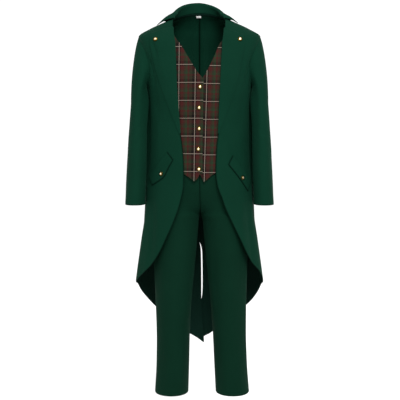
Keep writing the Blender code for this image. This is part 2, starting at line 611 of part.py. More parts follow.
def leg_row(sign, face, side_z, centre_z, split, count):
    """One row of a leg's cut piece, from the centre seam or inseam round to the side seam."""
    share = np.linspace(0, 1, count + 1)
    z = centre_z + (side_z - centre_z) * ramp(share, 0, 1)
    turn = share * math.pi / 2
    free = WAIST_FREE * ramp(-z, 0.430, 0.475)
    waist = skin(1, share * 90 if face == "front" else 180 - share * 90, z, waist_out - free)
    hips = ramp(-z, 0.45, 0.62)
    hips_y = read(TRUNK, face, z) * np.cos(turn) ** 0.85 * (-1 if face == "front" else 1)
    hips_y = waist[:, 1] + (hips_y - waist[:, 1]) * hips
    hips_x = waist[:, 0] + (read(TRUNK, "half", z) * np.sin(turn) ** 0.85 - waist[:, 0]) * hips
    turn = (share * 2 - 1) * math.pi / 2
    inner, outer = read(LEG, "inner", z), read(LEG, "outer", z)
    swing = np.sign(np.sin(turn)) * np.abs(np.sin(turn)) ** 0.95
    leg_y = read(LEG, face, z) * np.abs(np.cos(turn)) ** 0.95 * (-1 if face == "front" else 1)
    leg_x = (inner + outer) / 2 + (outer - inner) / 2 * swing
    x = hips_x + (leg_x - hips_x) * split
    y = hips_y + (leg_y - hips_y) * split
    return np.stack([sign * x + read(LEG, "shift", z), y, z], axis=-1)


for side, sign in SIDES.items():
    rows = list(zip(LEG_ROWS["side"], LEG_ROWS["centre"], LEG_ROWS["split"]))
    split = LEG_ROWS["split"][:, None]
    cut = {face: np.array([leg_row(sign, face, *row, LEG_COLUMNS) for row in rows])
           for face in ("front", "back")}
    for face, other, fore in (("front", "back", -1), ("back", "front", 1)):
        grid = cut[face]
        opposite = np.array([leg_row(-sign, face, *row, LEG_COLUMNS) for row in rows])
        within = np.where(split < 1, opposite[:, 1], cut[other][:, 1])
        padded = np.concatenate([within[:, None], grid, cut[other][:, -2:-1]], axis=1)
        out = grid_normals(padded)[:, 1:-1] * sign * fore
        part_at = np.zeros(grid.shape)
        part_at[:, -1, 1] = fore * SEAM / 2
        part_at[:, 0, 0] = sign * SEAM / 2
        part_at[:, 0, 1] = fore * SEAM / 2 * (split[:, 0] == 1)
        shell(f"trouser_{face}_{side}", grid + part_at + out * LEG_CLOTH / 2,
              grid + part_at - out * LEG_CLOTH / 2, LEG_GREEN)

# Buttons: a domed disc with a rolled rim on a short shank. "x" is out from the centre on its own
# side, and "raise" is the outer face of the cloth it is sewn to.
BUTTON = table(
    "radius  height",
    (0.26,   0.0000),
    (0.26,   0.0011),
    (0.93,   0.0013),
    (1.00,   0.0021),
    (0.90,   0.0027),
    (0.55,   0.0040),
    (0.00,   0.0046),
)
BUTTON_SIDES = 12
SMALL_BUTTON, LAPEL_BUTTON = 0.0078, 0.0080


def button(name, side, x, level, raised, radius):
    theta = angle(x, level)
    sign = SIDES[side]
    axis = body_normal(theta, level) * (sign, 1, 1)
    centre = skin(sign, theta, level, raised + SEAM)
    across = np.cross(axis, (0, 0, 1.0))
    across /= np.linalg.norm(across)
    up = np.cross(across, axis)
    verts = [centre]
    for share, height in zip(BUTTON["radius"][:-1], BUTTON["height"][:-1]):
        for k in range(BUTTON_SIDES):
            turn = 2 * math.pi * k / BUTTON_SIDES
            verts.append(centre + axis * height
                         + (across * math.cos(turn) + up * math.sin(turn)) * share * radius)
    verts.append(centre + axis * BUTTON["height"][-1])
    rings, n = len(BUTTON["radius"]) - 1, BUTTON_SIDES
    faces = []
    for k in range(n):
        j = (k + 1) % n
        faces.append((0, 1 + j, 1 + k))
        faces.append((len(verts) - 1, 1 + (rings - 1) * n + k, 1 + (rings - 1) * n + j))
        for r in range(rings - 1):
            low, high = 1 + r * n, 1 + (r + 1) * n
            faces.append((low + k, low + j, high + j, high + k))
    mesh_object(name, verts, faces, GOLD)


VEST_BUTTONS = table(
    "x        z",
    (-0.0020, -0.2230),
    (0.0012,  -0.2960),
    (0.0012,  -0.3690),
    (0.0040,  -0.4410),
    (0.0022,  -0.5120),
)
for number, (x, z) in enumerate(zip(VEST_BUTTONS["x"], VEST_BUTTONS["z"]), 1):
    raised = VEST_LAP - vest_inset(0, z) + VEST_CLOTH / 2
    button(f"vest_button_{number}", "right", x, z, raised, SMALL_BUTTON)
for side, x, level in (("right", 0.1587, -0.0320), ("left", 0.1395, -0.0300)):
    raised = LAPEL_OUT + CORNER_LIFT + COAT_CLOTH / 2
    button(f"lapel_button_{side}", side, x, level, raised, LAPEL_BUTTON)
for side, x, level in (("right", 0.1374, -0.5308), ("left", 0.1512, -0.5458)):
    button(f"flap_button_{side}", side, x, level, FLAP_OUT + COAT_CLOTH / 2, SMALL_BUTTON)
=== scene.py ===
import math

import bpy
import numpy as np
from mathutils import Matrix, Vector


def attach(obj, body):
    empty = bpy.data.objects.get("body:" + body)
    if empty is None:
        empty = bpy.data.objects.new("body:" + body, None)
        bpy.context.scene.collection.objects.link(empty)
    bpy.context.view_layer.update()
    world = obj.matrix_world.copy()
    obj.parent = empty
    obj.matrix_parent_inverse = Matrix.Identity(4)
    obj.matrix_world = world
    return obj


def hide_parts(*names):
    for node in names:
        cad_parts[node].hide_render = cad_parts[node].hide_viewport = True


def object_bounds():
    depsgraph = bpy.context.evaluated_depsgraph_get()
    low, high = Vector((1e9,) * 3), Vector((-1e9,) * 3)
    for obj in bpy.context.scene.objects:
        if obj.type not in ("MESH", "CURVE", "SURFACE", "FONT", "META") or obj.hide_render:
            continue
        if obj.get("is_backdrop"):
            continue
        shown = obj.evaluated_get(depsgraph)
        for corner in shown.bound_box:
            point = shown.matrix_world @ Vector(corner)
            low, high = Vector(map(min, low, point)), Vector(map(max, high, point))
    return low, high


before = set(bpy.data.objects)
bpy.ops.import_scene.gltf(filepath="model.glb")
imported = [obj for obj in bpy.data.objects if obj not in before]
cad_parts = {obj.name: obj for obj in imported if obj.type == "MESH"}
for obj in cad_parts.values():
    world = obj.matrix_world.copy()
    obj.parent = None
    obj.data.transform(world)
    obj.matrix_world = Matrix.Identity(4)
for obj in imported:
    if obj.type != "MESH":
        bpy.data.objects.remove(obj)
cad_low, cad_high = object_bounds()

# Tailcoat backs. The real ones are two long panels of dark green napped wool twill, joined by a
# centre-back seam down to an open vent, with curved tails. They are cut, sewn and pressed, and
# the edges of the vent and tails are turned in and stitched.
SIDES = {"right": -1, "left": 1}
COAT_CLOTH = 0.0020


def table(columns, *rows):
    """A short table as one array for each named column."""
    return dict(zip(columns.split(), np.array(rows, float).T))


def bow(start, end, leave, arrive, t):
    """The curve from start to end that leaves and arrives along the given steps."""
    return (start * (1 + 2 * t) * (1 - t) ** 2 + leave * t * (1 - t) ** 2
            + end * t * t * (3 - 2 * t) + arrive * t * t * (t - 1))


def read(tab, column, at):
    """A column read as a smooth curve that never overshoots its rows."""
    key = next(iter(tab))
    order = np.argsort(tab[key])
    xs, ys = tab[key][order], tab[column][order]
    step = np.diff(xs)
    slope = np.diff(ys) / step
    tangent = np.zeros(len(xs))
    tangent[0], tangent[-1] = slope[0], slope[-1]
    product = slope[:-1] * slope[1:]
    total = slope[:-1] + slope[1:]
    turning = product > 0
    tangent[1:-1][turning] = 2 * product[turning] / total[turning]
    at = np.clip(at, xs[0], xs[-1])
    k = np.clip(np.searchsorted(xs, at) - 1, 0, len(xs) - 2)
    t = (at - xs[k]) / step[k]
    return bow(ys[k], ys[k + 1], tangent[k] * step[k], tangent[k + 1] * step[k], t)


def ramp(value, start, end):
    """Soft step from 0 at start to 1 at end."""
    t = np.clip((np.asarray(value, float) - start) / (end - start), 0, 1)
    return t * t * (3 - 2 * t)


# The coat's middle surface, as rings from the neck seam to the tails. "level" is the ring's
# height at the side; it dips by "dip" at centre front and rises by "rise" at centre back.
BODY = table(
    "level   half    front  back   dip    rise    power_f power_b side",
    (0.026,  0.0960, 0.080, 0.078, 0.045, 0.026,  2.8,    2.2,    0.000),
    (0.010,  0.1300, 0.097, 0.099, 0.052, 0.017,  2.5,    2.3,    0.000),
    (-0.010, 0.1740, 0.107, 0.113, 0.045, 0.003,  2.5,    2.4,    0.000),
    (-0.041, 0.2195, 0.113, 0.122, 0.028, -0.006, 2.7,    2.6,    0.000),
    (-0.100, 0.2080, 0.120, 0.129, 0.010, -0.004, 2.9,    2.8,    0.000),
    (-0.160, 0.1955, 0.126, 0.131, 0.000, 0.000,  2.9,    2.8,    0.004),
    (-0.225, 0.1900, 0.129, 0.128, 0.000, 0.000,  2.7,    2.7,    0.010),
    (-0.300, 0.1925, 0.129, 0.121, 0.000, 0.000,  2.3,    2.6,    0.022),
    (-0.370, 0.1940, 0.126, 0.117, 0.000, 0.000,  2.2,    2.5,    0.026),
    (-0.440, 0.1955, 0.124, 0.117, 0.000, 0.000,  2.2,    2.4,    0.026),
    (-0.520, 0.1975, 0.126, 0.123, 0.000, 0.000,  2.2,    2.4,    0.026),
    (-0.600, 0.1985, 0.130, 0.132, 0.000, 0.000,  2.3,    2.4,    0.022),
    (-0.663, 0.1995, 0.133, 0.140, 0.000, 0.000,  2.3,    2.4,    0.016),
    (-0.783, 0.2158, 0.138, 0.157, 0.000, 0.000,  2.2,    2.3,    0.012),
    (-0.903, 0.2328, 0.142, 0.173, 0.000, 0.000,  2.2,    2.2,    0.010),
    (-0.945, 0.2378, 0.143, 0.178, 0.000, 0.000,  2.2,    2.2,    0.010),
    (-1.230, 0.2450, 0.145, 0.200, 0.000, 0.000,  2.2,    2.2,    0.010),
)
BODY_TOP, BODY_END = BODY["level"].max(), BODY["level"].min()
NORMAL_STEP = 0.002
SMALLEST = 1e-12


def body(theta, level):
    """Point of the coat's middle surface; theta is 0 at centre front and 180 at centre back."""
    turn = np.radians(theta)
    sine, cosine = np.sin(turn), np.cos(turn)
    fore = cosine >= 0
    power = np.where(fore, read(BODY, "power_f", level), read(BODY, "power_b", level))
    reach = np.where(fore, read(BODY, "front", level), read(BODY, "back", level))
    lift = np.where(fore, -read(BODY, "dip", level), read(BODY, "rise", level))
    x = read(BODY, "half", level) * np.sign(sine) * np.abs(sine) ** (2 / power)
    y = -reach * np.sign(cosine) * np.abs(cosine) ** (2 / power) + read(BODY, "side", level) * sine ** 2
    return np.stack([x, y, level + lift * cosine ** 2], axis=-1)


def unit(vectors):
    return vectors / np.maximum(np.linalg.norm(vectors, axis=-1, keepdims=True), SMALLEST)


def body_normal(theta, level):
    around = body(theta + 0.5, level) - body(theta - 0.5, level)
    lower = np.maximum(level - NORMAL_STEP, BODY_END)
    upper = np.minimum(level + NORMAL_STEP, BODY_TOP)
    return unit(np.cross(around, body(theta, upper) - body(theta, lower)))


# Soft creases of the worn body. A row runs from one turn and height to another,
# then gives the arch between them, the half width, and the depth, below zero for a trough.
# BODY_ARC is about the cloth's length over one degree of turn.
BODY_ARC = 0.0029
BODY_CREASES = {
    -1: [(43,  -0.050, 39,  -0.120, 0.004,  0.007, -0.0046),
         (58,  -0.105, 50,  -0.235, 0.004,  0.010, -0.0034),
         (36,  -0.070, 33,  -0.210, 0.000,  0.015, 0.0014),
         (53,  -0.190, 44,  -0.350, -0.006, 0.012, -0.0020),
         (46,  -0.290, 50,  -0.520, 0.004,  0.018, 0.0018),
         (56,  -0.620, 52,  -0.870, 0.006,  0.014, -0.0038),
         (46,  -0.590, 43,  -0.830, -0.004, 0.018, 0.0026),
         (72,  -0.500, 75,  -0.940, 0.002,  0.020, 0.0034),
         (112, -0.150, 119, -0.300, 0.003,  0.012, 0.0018),
         (122, -0.100, 137, -0.270, 0.006,  0.020, -0.0022),
         (152, -0.150, 159, -0.430, -0.004, 0.016, -0.0019),
         (105, -0.480, 103, -0.950, 0.003,  0.017, 0.0032),
         (128, -0.420, 124, -0.840, 0.006,  0.018, 0.0032),
         (149, -0.600, 147, -1.090, -0.006, 0.020, -0.0048),
         (166, -0.700, 163, -1.130, 0.004,  0.018, 0.0042),
         (73,  -0.215, 72,  -0.560, 0.002,  0.015, -0.0085),
         (98,  -0.590, 97,  -0.730, 0.000,  0.014, 0.0045),
         (100, -0.205, 104, -0.350, 0.000,  0.012, 0.0055)],
    1: [(40,  -0.090, 46,  -0.200, 0.003,  0.010, -0.0028),
        (60,  -0.095, 52,  -0.215, -0.004, 0.010, -0.0030),
        (35,  -0.150, 23,  -0.310, 0.000,  0.016, 0.0016),
        (55,  -0.200, 47,  -0.370, 0.006,  0.012, -0.0020),
        (45,  -0.320, 50,  -0.560, -0.004, 0.020, 0.0018),
        (59,  -0.640, 55,  -0.890, -0.005, 0.013, -0.0034),
        (48,  -0.610, 46,  -0.810, 0.004,  0.016, 0.0022),
        (70,  -0.520, 73,  -0.940, 0.002,  0.020, 0.0030),
        (110, -0.170, 115, -0.330, -0.003, 0.013, 0.0017),
        (118, -0.110, 131, -0.250, -0.005, 0.018, -0.0024),
        (155, -0.130, 160, -0.390, 0.004,  0.018, -0.0017),
        (107, -0.460, 104, -0.940, -0.004, 0.019, 0.0030),
        (131, -0.450, 127, -0.860, -0.006, 0.020, 0.0034),
        (147, -0.570, 149, -1.060, 0.005,  0.018, -0.0044),
        (168, -0.660, 165, -1.110, -0.003, 0.016, 0.0038),
        (74,  -0.225, 71,  -0.545, -0.002, 0.015, -0.0085),
        (98,  -0.580, 96,  -0.720, 0.000,  0.014, 0.0045),
        (100, -0.205, 105, -0.360, 0.000,  0.012, 0.0055)],
}
FADE_PAST, FADE_IN = 0.12, 0.35


def creases(across, level, rows, arc):
    """Height of the creases over the cloth; "across" is in the rows' units and "arc" their size."""
    total = np.zeros(np.broadcast(across, level).shape)
    for start, top, end, foot, arch, width, depth in rows:
        run, drop = (end - start) * arc, foot - top
        size = math.hypot(run, drop)
        a, z = (across - start) * arc, level - top
        along = (a * run + z * drop) / size ** 2
        beside = (a * drop - z * run) / size - arch * np.sin(np.pi * np.clip(along, 0, 1))
        fade = ramp(along, -FADE_PAST, FADE_IN) * ramp(1 - along, -FADE_PAST, FADE_IN)
        total = total + depth * fade * np.exp(-(beside / width) ** 2)
    return total


def skin(side, theta, level, out):
    """Point of the worn body moved out by a distance, on the wearer's right or left."""
    theta, level, out = np.broadcast_arrays(*(np.asarray(a, float) for a in (theta, level, out)))
    out = out + creases(theta, level, BODY_CREASES[side], BODY_ARC)
    point = body(theta, level) + body_normal(theta, level) * out[..., None]
    return point * (side, 1, 1)


def angle(x, level, rear=False):
    """Theta of a point x out from the centre; below zero lies past the centre."""
    power = read(BODY, "power_b" if rear else "power_f", level)
    part = np.clip(np.abs(x) / read(BODY, "half", level), 0, 1) ** (power / 2)
    turn = np.degrees(np.arcsin(part)) * np.sign(x)
    return 180 - turn if rear else turn


def pinched(count, pinch=0.85):
    """Shares from 0 to 1 that lie closer together towards both ends, where cloth is edged."""
    share = np.linspace(0, 1, count + 1)
    return share - pinch * np.sin(2 * np.pi * share) / (2 * np.pi)


def spread(start, end, count):
    """Rows of values that run from start to end."""
    start, end = np.broadcast_arrays(np.asarray(start, float), np.asarray(end, float))
    return start[:, None] + (end - start)[:, None] * pinched(count)


def levels_between(top, foot, count):
    return top + (foot - top) * pinched(count)


def runs(grid, axis):
    """Distance over the cloth from a grid's first line to each point, along one axis."""
    steps = np.linalg.norm(np.diff(grid, axis=axis), axis=2)
    return np.concatenate([np.zeros_like(np.take(steps, [0], axis)), np.cumsum(steps, axis)], axis)


def added(name, data):
    """A new object in the scene."""
    made = bpy.data.objects.new(name, data)
    bpy.context.collection.objects.link(made)
    return made


EDGE_SHARE = 0.3


def cloth(name, middle, stuff, stitched="", tube=False, lay=None,
          lining=None):
    """A cut piece as a thin shell round its middle surface, with soft edges. "stuff" is the
    cloth's thickness, finish and slot; the slot is not used. "stitched"
    names the edges that are turned in and sewn. "lay" gives the cloth's own lengths where a
    pattern has to fall in place. "lining" is the finish that faces the wearer."""
    thick, finish, slot = stuff
    rows, cols = middle.shape[:2]
    loop = np.concatenate([middle, middle[:, :1]], axis=1) if tube else middle
    down, over = runs(loop, 0), runs(loop, 1)
    to_edge = {"top": down, "foot": down[-1:] - down, "start": over, "end": over[:, -1:] - over}
    rim = np.minimum(to_edge["top"], to_edge["foot"])
    if not tube:
        rim = np.minimum(rim, np.minimum(to_edge["start"], to_edge["end"]))
    sewn = np.full(rim.shape, 1.0)
    for edge in stitched.split():
        sewn = np.minimum(sewn, to_edge[edge])
    rim, sewn = rim[:, :cols], sewn[:, :cols]
    curve = np.sqrt(1 - (1 - np.clip(rim / (thick / 2), 0, 1)) ** 2)
    half = thick / 2 * (EDGE_SHARE + (1 - EDGE_SHARE) * curve)
    across = np.roll(middle, -1, 1) - np.roll(middle, 1, 1) if tube else np.gradient(middle, axis=1)
    normal = unit(np.cross(across, np.gradient(middle, axis=0)))
    outer, inner = middle + normal * half[..., None], middle - normal * half[..., None]
    verts = np.concatenate([outer.reshape(-1, 3), inner.reshape(-1, 3)])
    last = cols if tube else cols - 1
    r, c = (part.ravel() for part in np.meshgrid(np.arange(rows - 1), np.arange(last), indexing="ij"))
    d = (c + 1) % cols
    quads = np.stack([r * cols + c, r * cols + d, (r + 1) * cols + d, (r + 1) * cols + c], axis=1)
    corners = np.stack([r, r, r + 1, r + 1], 1), np.stack([c, c + 1, c + 1, c], 1)
    faces = [quads, quads[:, ::-1] + rows * cols]
    places = [corners, tuple(part[:, ::-1] for part in corners)]
    rims = [(np.zeros(last, int) + end, np.arange(last), 0, 1) for end in (0, rows - 1)]
    if not tube:
        rims += [(np.arange(rows - 1), np.zeros(rows - 1, int) + end, 1, 0) for end in (0, cols - 1)]
    for number, (at_row, at_col, by_row, by_col) in enumerate(rims):
        near = at_row * cols + at_col
        far = (at_row + by_row) * cols + (at_col + by_col) % cols
        quad = np.stack([far, near, near + rows * cols, far + rows * cols], axis=1)
        spot = (np.stack([at_row + by_row, at_row, at_row, at_row + by_row], 1),
                np.stack([at_col + by_col, at_col, at_col, at_col + by_col], 1))
        flip = slice(None, None, -1 if number in (1, 2) else 1)
        faces.append(quad[:, flip])
        places.append(tuple(part[:, flip] for part in spot))
    faces = np.concatenate(faces)
    a, b, e = (verts[faces[:, k]] for k in (0, 1, 2))
    g = verts[faces[:, 3]]
    volume = np.sum(a * np.cross(b, e)) + np.sum(a * np.cross(e, g))
    turned = slice(None, None, -1 if volume < 0 else 1)
    faces = faces[:, turned]
    at_row = np.concatenate([place[0] for place in places])[:, turned]
    at_col = np.concatenate([place[1] for place in places])[:, turned]
    mesh = bpy.data.meshes.new(name)
    mesh.from_pydata(verts.tolist(), [], faces.tolist())
    u, v = (over, down) if lay is None else lay
    weave = mesh.uv_layers.new(name="weave")
    weave.data.foreach_set("uv", np.stack([u[at_row, at_col], v[at_row, at_col]], axis=-1).ravel())
    # sewn_edge is the distance to the stitched edges: the wool finishes draw stitches along it and paint a
    # dark line of shade at the edge.
    mesh.attributes.new("sewn_edge", "FLOAT", "POINT").data.foreach_set(
        "value", np.tile(sewn.ravel(), 2).astype(np.float32))
    mesh.materials.append(finish)
    if lining:
        mesh.materials.append(lining)
        inside = int(np.sum(normal * middle * (1, 1, 0)) > 0)
        lined = np.arange(len(faces)) // len(quads) == inside
        mesh.polygons.foreach_set("material_index", lined.astype(np.int32))
    mesh.shade_smooth()
    piece = added(name + "_cloth", mesh)
    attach(piece, "root")
    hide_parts(name)


class Socket:
    """An output of a finish's node. Arithmetic on it adds Math nodes to that finish."""

    def __init__(self, finish, output):
        self.finish = finish
        self.output = output

    def __add__(self, other):
        return self.finish.maths("ADD", self, other)

    def __radd__(self, other):
        return self.finish.maths("ADD", other, self)

    def __sub__(self, other):
        return self.finish.maths("SUBTRACT", self, other)

    def __rsub__(self, other):
        return self.finish.maths("SUBTRACT", other, self)

    def __mul__(self, other):
        return self.finish.maths("MULTIPLY", self, other)

    def __rmul__(self, other):
        return self.finish.maths("MULTIPLY", other, self)

    def __truediv__(self, other):
        return self.finish.maths("DIVIDE", self, other)


class Finish:
    """A material: its Principled shader, with steady values set on the sockets themselves."""

    def __init__(self, name, steady):
        self.material = bpy.data.materials.new(name)
        self.material.use_nodes = True
        self.tree = self.material.node_tree
        self.shader = self.tree.nodes["Principled BSDF"]
        for socket, value in steady.items():
            self.shader.inputs[socket].default_value = value

    def node(self, kind, settings, sockets, out=0):
        made = self.tree.nodes.new(kind)
        for setting, value in settings.items():
            if setting == "stops":
                for spare in list(made.color_ramp.elements)[1:]:
                    made.color_ramp.elements.remove(spare)
                for number, (place, colour) in enumerate(value):
                    if number:
                        made.color_ramp.elements.new(place)
                    made.color_ramp.elements[number].position = place
                    made.color_ramp.elements[number].color = (*colour, 1)
            else:
                setattr(made.color_ramp if setting == "interpolation" else made, setting, value)
        for socket, value in sockets.items():
            self.feed(made.inputs[socket], value)
        return Socket(self, made.outputs[out])

    def feed(self, target, value):
        if isinstance(value, Socket):
            self.tree.links.new(value.output, target)
        else:
            target.default_value = value

    def weave(self):
        """The cloth's own lengths, across and along, in metres."""
        place = self.node("ShaderNodeUVMap", {"uv_map": "weave"}, {})
        across = self.node("ShaderNodeSeparateXYZ", {}, {0: place})
        return across, Socket(self, across.output.node.outputs[1])

    def noise(self, scale, detail=2.0):
        place = self.node("ShaderNodeTexCoord", {}, {}, out="Object")
        return self.node("ShaderNodeTexNoise", {}, {"Vector": place, "Scale": scale, "Detail": detail})

    def painted(self, attribute):
        """A value that the mesh carries at its points."""
        return self.node("ShaderNodeAttribute", {"attribute_name": attribute}, {}, out="Fac")

    def maths(self, operation, *values):
        return self.node("ShaderNodeMath", {"operation": operation}, dict(enumerate(values)))

    def mix(self, share, first, second, blend="MIX"):
        """Two colours mixed, each a link or a plain colour."""
        first, second = (c if isinstance(c, Socket) else (*c, 1) for c in (first, second))
        return self.node("ShaderNodeMix", {"data_type": "RGBA", "blend_type": blend},
                         {0: share, 6: first, 7: second}, out=2)

    def looks(self, socket, value):
        """Lead a value that changes over the surface to one of the shader's sockets."""
        self.feed(self.shader.inputs[socket], value)

    def relief(self, strength, height):
        self.looks("Normal", self.node("ShaderNodeBump", {}, {"Strength": strength, "Distance": 1.0,
                                                              "Height": height}))

    def stitches(self, edge, across, along):
        """A sunk line of lockstitch, 5 mm in from each turned edge: 1 in it and 0 elsewhere."""
        line = 1 - self.maths("ABSOLUTE", edge - STITCH_IN) / STITCH_WIDE
        dash = self.maths("PINGPONG", (across + along) / STITCH_LONG, 1.0)
        return self.maths("MAXIMUM", line, 0.0) * (STITCH_DIP + (1 - STITCH_DIP) * dash)


STITCH_IN, STITCH_WIDE, STITCH_LONG, STITCH_DIP = 0.005, 0.0008, 0.0032, 0.45
# Width and strength of the painted shade that darkens the cloth along its stitched edges.
PAINTED_EDGE_SHADE, PAINTED_EDGE_DARK = 0.0048, 0.9
TWILL = 0.0011
CLOUDS, FIBRES = 9.0, 900.0
CLOUD_SHADE, FIBRE_SHADE, RIB_SHADE, STITCH_SHADE = 0.7, 0.35, 0.05, 0.5
RIB_HIGH, FIBRE_HIGH, STITCH_DEEP = 0.00007, 0.00022, 0.00045


def wool(name, dark, light, roughness, nap, seam=PAINTED_EDGE_SHADE):
    """Milled twill: fine slanting ribs under a soft nap, a little uneven in its dye. A painted dark line of
    shade runs along its stitched edges, as wide as "seam".
    """
    made = Finish(name, {"Sheen Weight": nap, "Sheen Roughness": 0.45, "Specular IOR Level": 0.03,
                         "Sheen Tint": (0.20, 0.80, 0.50, 1), "Specular Tint": (0.4, 1.0, 0.7, 1)})
    across, along = made.weave()
    ribs = made.maths("SINE", (across + along) * (math.tau / TWILL))
    cloud = made.noise(CLOUDS)
    fibre = made.noise(FIBRES, 3.0)
    edge = made.painted("sewn_edge")
    thread = made.stitches(edge, across, along)
    shade = cloud * CLOUD_SHADE + fibre * FIBRE_SHADE + ribs * RIB_SHADE - thread * STITCH_SHADE
    flat = made.mix(shade, dark, light)
    # Painted shade: the colour darkens almost to black at the stitched edges.
    painted_edge_shade = made.maths("MAXIMUM", 1 - edge / seam, 0.0)
    made.looks("Base Color", made.mix(painted_edge_shade * PAINTED_EDGE_DARK, flat, (0, 0, 0)))
    made.looks("Roughness", roughness - 0.08 + cloud * 0.14)
    made.relief(0.9, ribs * RIB_HIGH + fibre * FIBRE_HIGH - thread * STITCH_DEEP)
    return made.material


coat_wool = wool("coat_wool", (0.0010, 0.0112, 0.0060), (0.0022, 0.0170, 0.0096), 0.85, 0.02)
# The lining's greyer green is its own tone. It is also darker than the wool, as painted shade for the
# inside of the coat and tails.
coat_lining_and_shade = wool("coat_lining_and_shade", (0.0018, 0.0078, 0.0054), (0.0028, 0.0116, 0.0082), 0.70, 0.01)
COAT = COAT_CLOTH, coat_wool, "coat_cloth"

TIP, PIT = -0.041, -0.225
SKIRT, TAIL = -0.900, -1.203
ARM_STEPS = 44
ARM_CUT = 30.0


def arm_level(turn, tip, pit):
    return (tip + pit) / 2 + (tip - pit) / 2 * np.cos(turn)


def armhole_rows(top, tip, pit, foot, above, beside, below):
    """Levels from a neck to the armhole, down beside it and on to a foot, in given numbers of
    rows, with how deep the armhole is cut at each."""
    turn = np.linspace(0, math.pi, beside + 1)
    neck = levels_between(top, tip, above)[:-1]
    levels = np.concatenate([neck, arm_level(turn, tip, pit), levels_between(pit, foot, below)[1:]])
    return levels, np.concatenate([0 * neck, np.sin(turn), np.zeros(below)])


coat_levels, arm_cut = armhole_rows(BODY_TOP, TIP, PIT, SKIRT, 16, ARM_STEPS, 80)
hem_levels = levels_between(SKIRT, TAIL, 46)[1:]
VENT = table(
    "level   right    left     hem_right hem_left",
    (-0.805, 0.0000,  0.0000,  0.3000,   0.3000),
    (-0.852, -0.0055, 0.0100,  0.3000,   0.3000),
    (-0.945, -0.0070, 0.0117,  0.2378,   0.2378),
    (-0.987, -0.0072, 0.0117,  0.2230,   0.2250),
    (-1.030, -0.0072, 0.0097,  0.1976,   0.2030),
    (-1.070, -0.0085, 0.0010,  0.1663,   0.1690),
    (-1.120, -0.0120, -0.0040, 0.1130,   0.1130),
    (-1.183, -0.0160, -0.0080, 0.0400,   0.0430),
    (-1.203, -0.0175, -0.0100, 0.0080,   0.0130),
    (-1.220, -0.0180, -0.0100, -0.0140,  0.0130),
)
VENT_TOP, SIDE_END = -0.815, -0.940
VENT_LAP, LAP_HIGH, LAP_LOW = 0.0019, 0.80, 1.02
LAP_SIDE, LAP_CENTRE = 110, 160
BACK_COLUMNS, FRONT_COLUMNS = 56, 48
TAIL_END = {"right": [-1.208, -1.214, -1.220], "left": []}
for side, sign in SIDES.items():
    levels = np.concatenate([coat_levels, hem_levels, TAIL_END[side]])
    cut = np.append(arm_cut, np.zeros(len(levels) - len(arm_cut)))
    hem = np.minimum(read(VENT, "hem_" + side, levels), read(BODY, "half", levels))
    side_edge = np.where(levels < SIDE_END, angle(hem, levels, rear=True), 90 + ARM_CUT * cut)
    centre = np.where(levels < VENT_TOP, read(VENT, side, levels), 0)
    theta = spread(angle(centre, levels, rear=True), side_edge, BACK_COLUMNS)
    lap = ramp(-levels, LAP_HIGH, LAP_LOW)[:, None] * ramp(theta, LAP_SIDE, LAP_CENTRE)
    cloth(f"coat_back_{side}", skin(sign, theta, levels[:, None], sign * VENT_LAP * lap), COAT,
          "foot", lining=coat_lining_and_shade)

# Tailcoat fronts. Each real front is one panel of the same wool, cut away in a long curve from
# the waist to the side, and lined at its edge. It is sewn to the back at the side and shoulder.
FRONT_EDGE = table(
    "level   right   left",
    (0.026,  0.0900, 0.0880),
    (0.010,  0.0910, 0.0850),
    (-0.010, 0.0880, 0.0820),
    (-0.040, 0.0850, 0.0790),
    (-0.100, 0.0825, 0.0765),
    (-0.234, 0.0773, 0.0705),
    (-0.374, 0.0653, 0.0635),
    (-0.522, 0.0550, 0.0567),
    (-0.565, 0.0550, 0.0610),
    (-0.587, 0.0575, 0.0675),
    (-0.615, 0.0638, 0.0790),
    (-0.644, 0.0712, 0.0885),
    (-0.703, 0.0927, 0.1155),
    (-0.762, 0.1189, 0.1435),
    (-0.814, 0.1435, 0.1680),
    (-0.854, 0.1688, 0.1910),
    (-0.891, 0.2010, 0.2180),
    (-0.915, 0.2214, 0.2300),
    (-0.930, 0.2305, 0.2338),
    (-0.945, 0.2372, 0.2374),
)
FRONT_CORNER = [-0.908, -0.916, -0.924, -0.931, -0.938]
LAPEL_OUT = COAT_CLOTH + 0.0008
LAPEL_OPEN = 63.0
ROLL_FULL, ROLL_SHORT, ROLL_END, FOLD_END = 0.26, 0.38, 0.385, 0.430


def lapel_start(level):
    """Degrees of the lapel's fold at its edge: full above, and only its upper part at its end."""
    return LAPEL_OPEN * ramp(-level, ROLL_FULL, ROLL_SHORT)


def front_edge(side, level):
    """The coat's own edge, which lies a fold's width inside the lapel that turns round it."""
    fold = LAPEL_OUT * np.cos(np.radians(lapel_start(level))) + COAT_CLOTH / 2
    return read(FRONT_EDGE, side, level) + fold * (1 - ramp(-level, ROLL_END, FOLD_END))


for side, sign in SIDES.items():
    levels = np.append(coat_levels, FRONT_CORNER)
    cut = np.append(arm_cut, np.zeros(len(FRONT_CORNER)))
    theta = spread(angle(front_edge(side, levels), levels), 90 - ARM_CUT * cut, FRONT_COLUMNS)
    cloth(f"coat_front_{side}", skin(sign, theta, levels[:, None], 0), COAT,
          "start foot")

# Sleeves. Each real sleeve is a tube of the same wool, eased into the armhole so that its cap
# stands round, with a plain turned and stitched cuff. It breaks softly at the elbow.
SLEEVE = table(
    "z       inside  outside front  back   hug",
    (-0.280, 0.1942, 0.2472, 0.085, 0.064, 0.013),
    (-0.370, 0.1940, 0.2545, 0.093, 0.047, 0.006),
    (-0.440, 0.1935, 0.2598, 0.096, 0.036, 0.004),
    (-0.515, 0.1938, 0.2638, 0.096, 0.027, 0.002),
    (-0.580, 0.1960, 0.2672, 0.094, 0.020, 0.001),
    (-0.645, 0.1990, 0.2702, 0.091, 0.014, 0.000),
)
HUG_TURN, HUG_WIDTH = 155.0, 22.0
SLEEVE_ROUND, SLEEVE_FLAT = 0.88, 0.92
CAP_ROWS, CAP_SMOOTH, TUBE_ROWS = 26, 0.4, 60
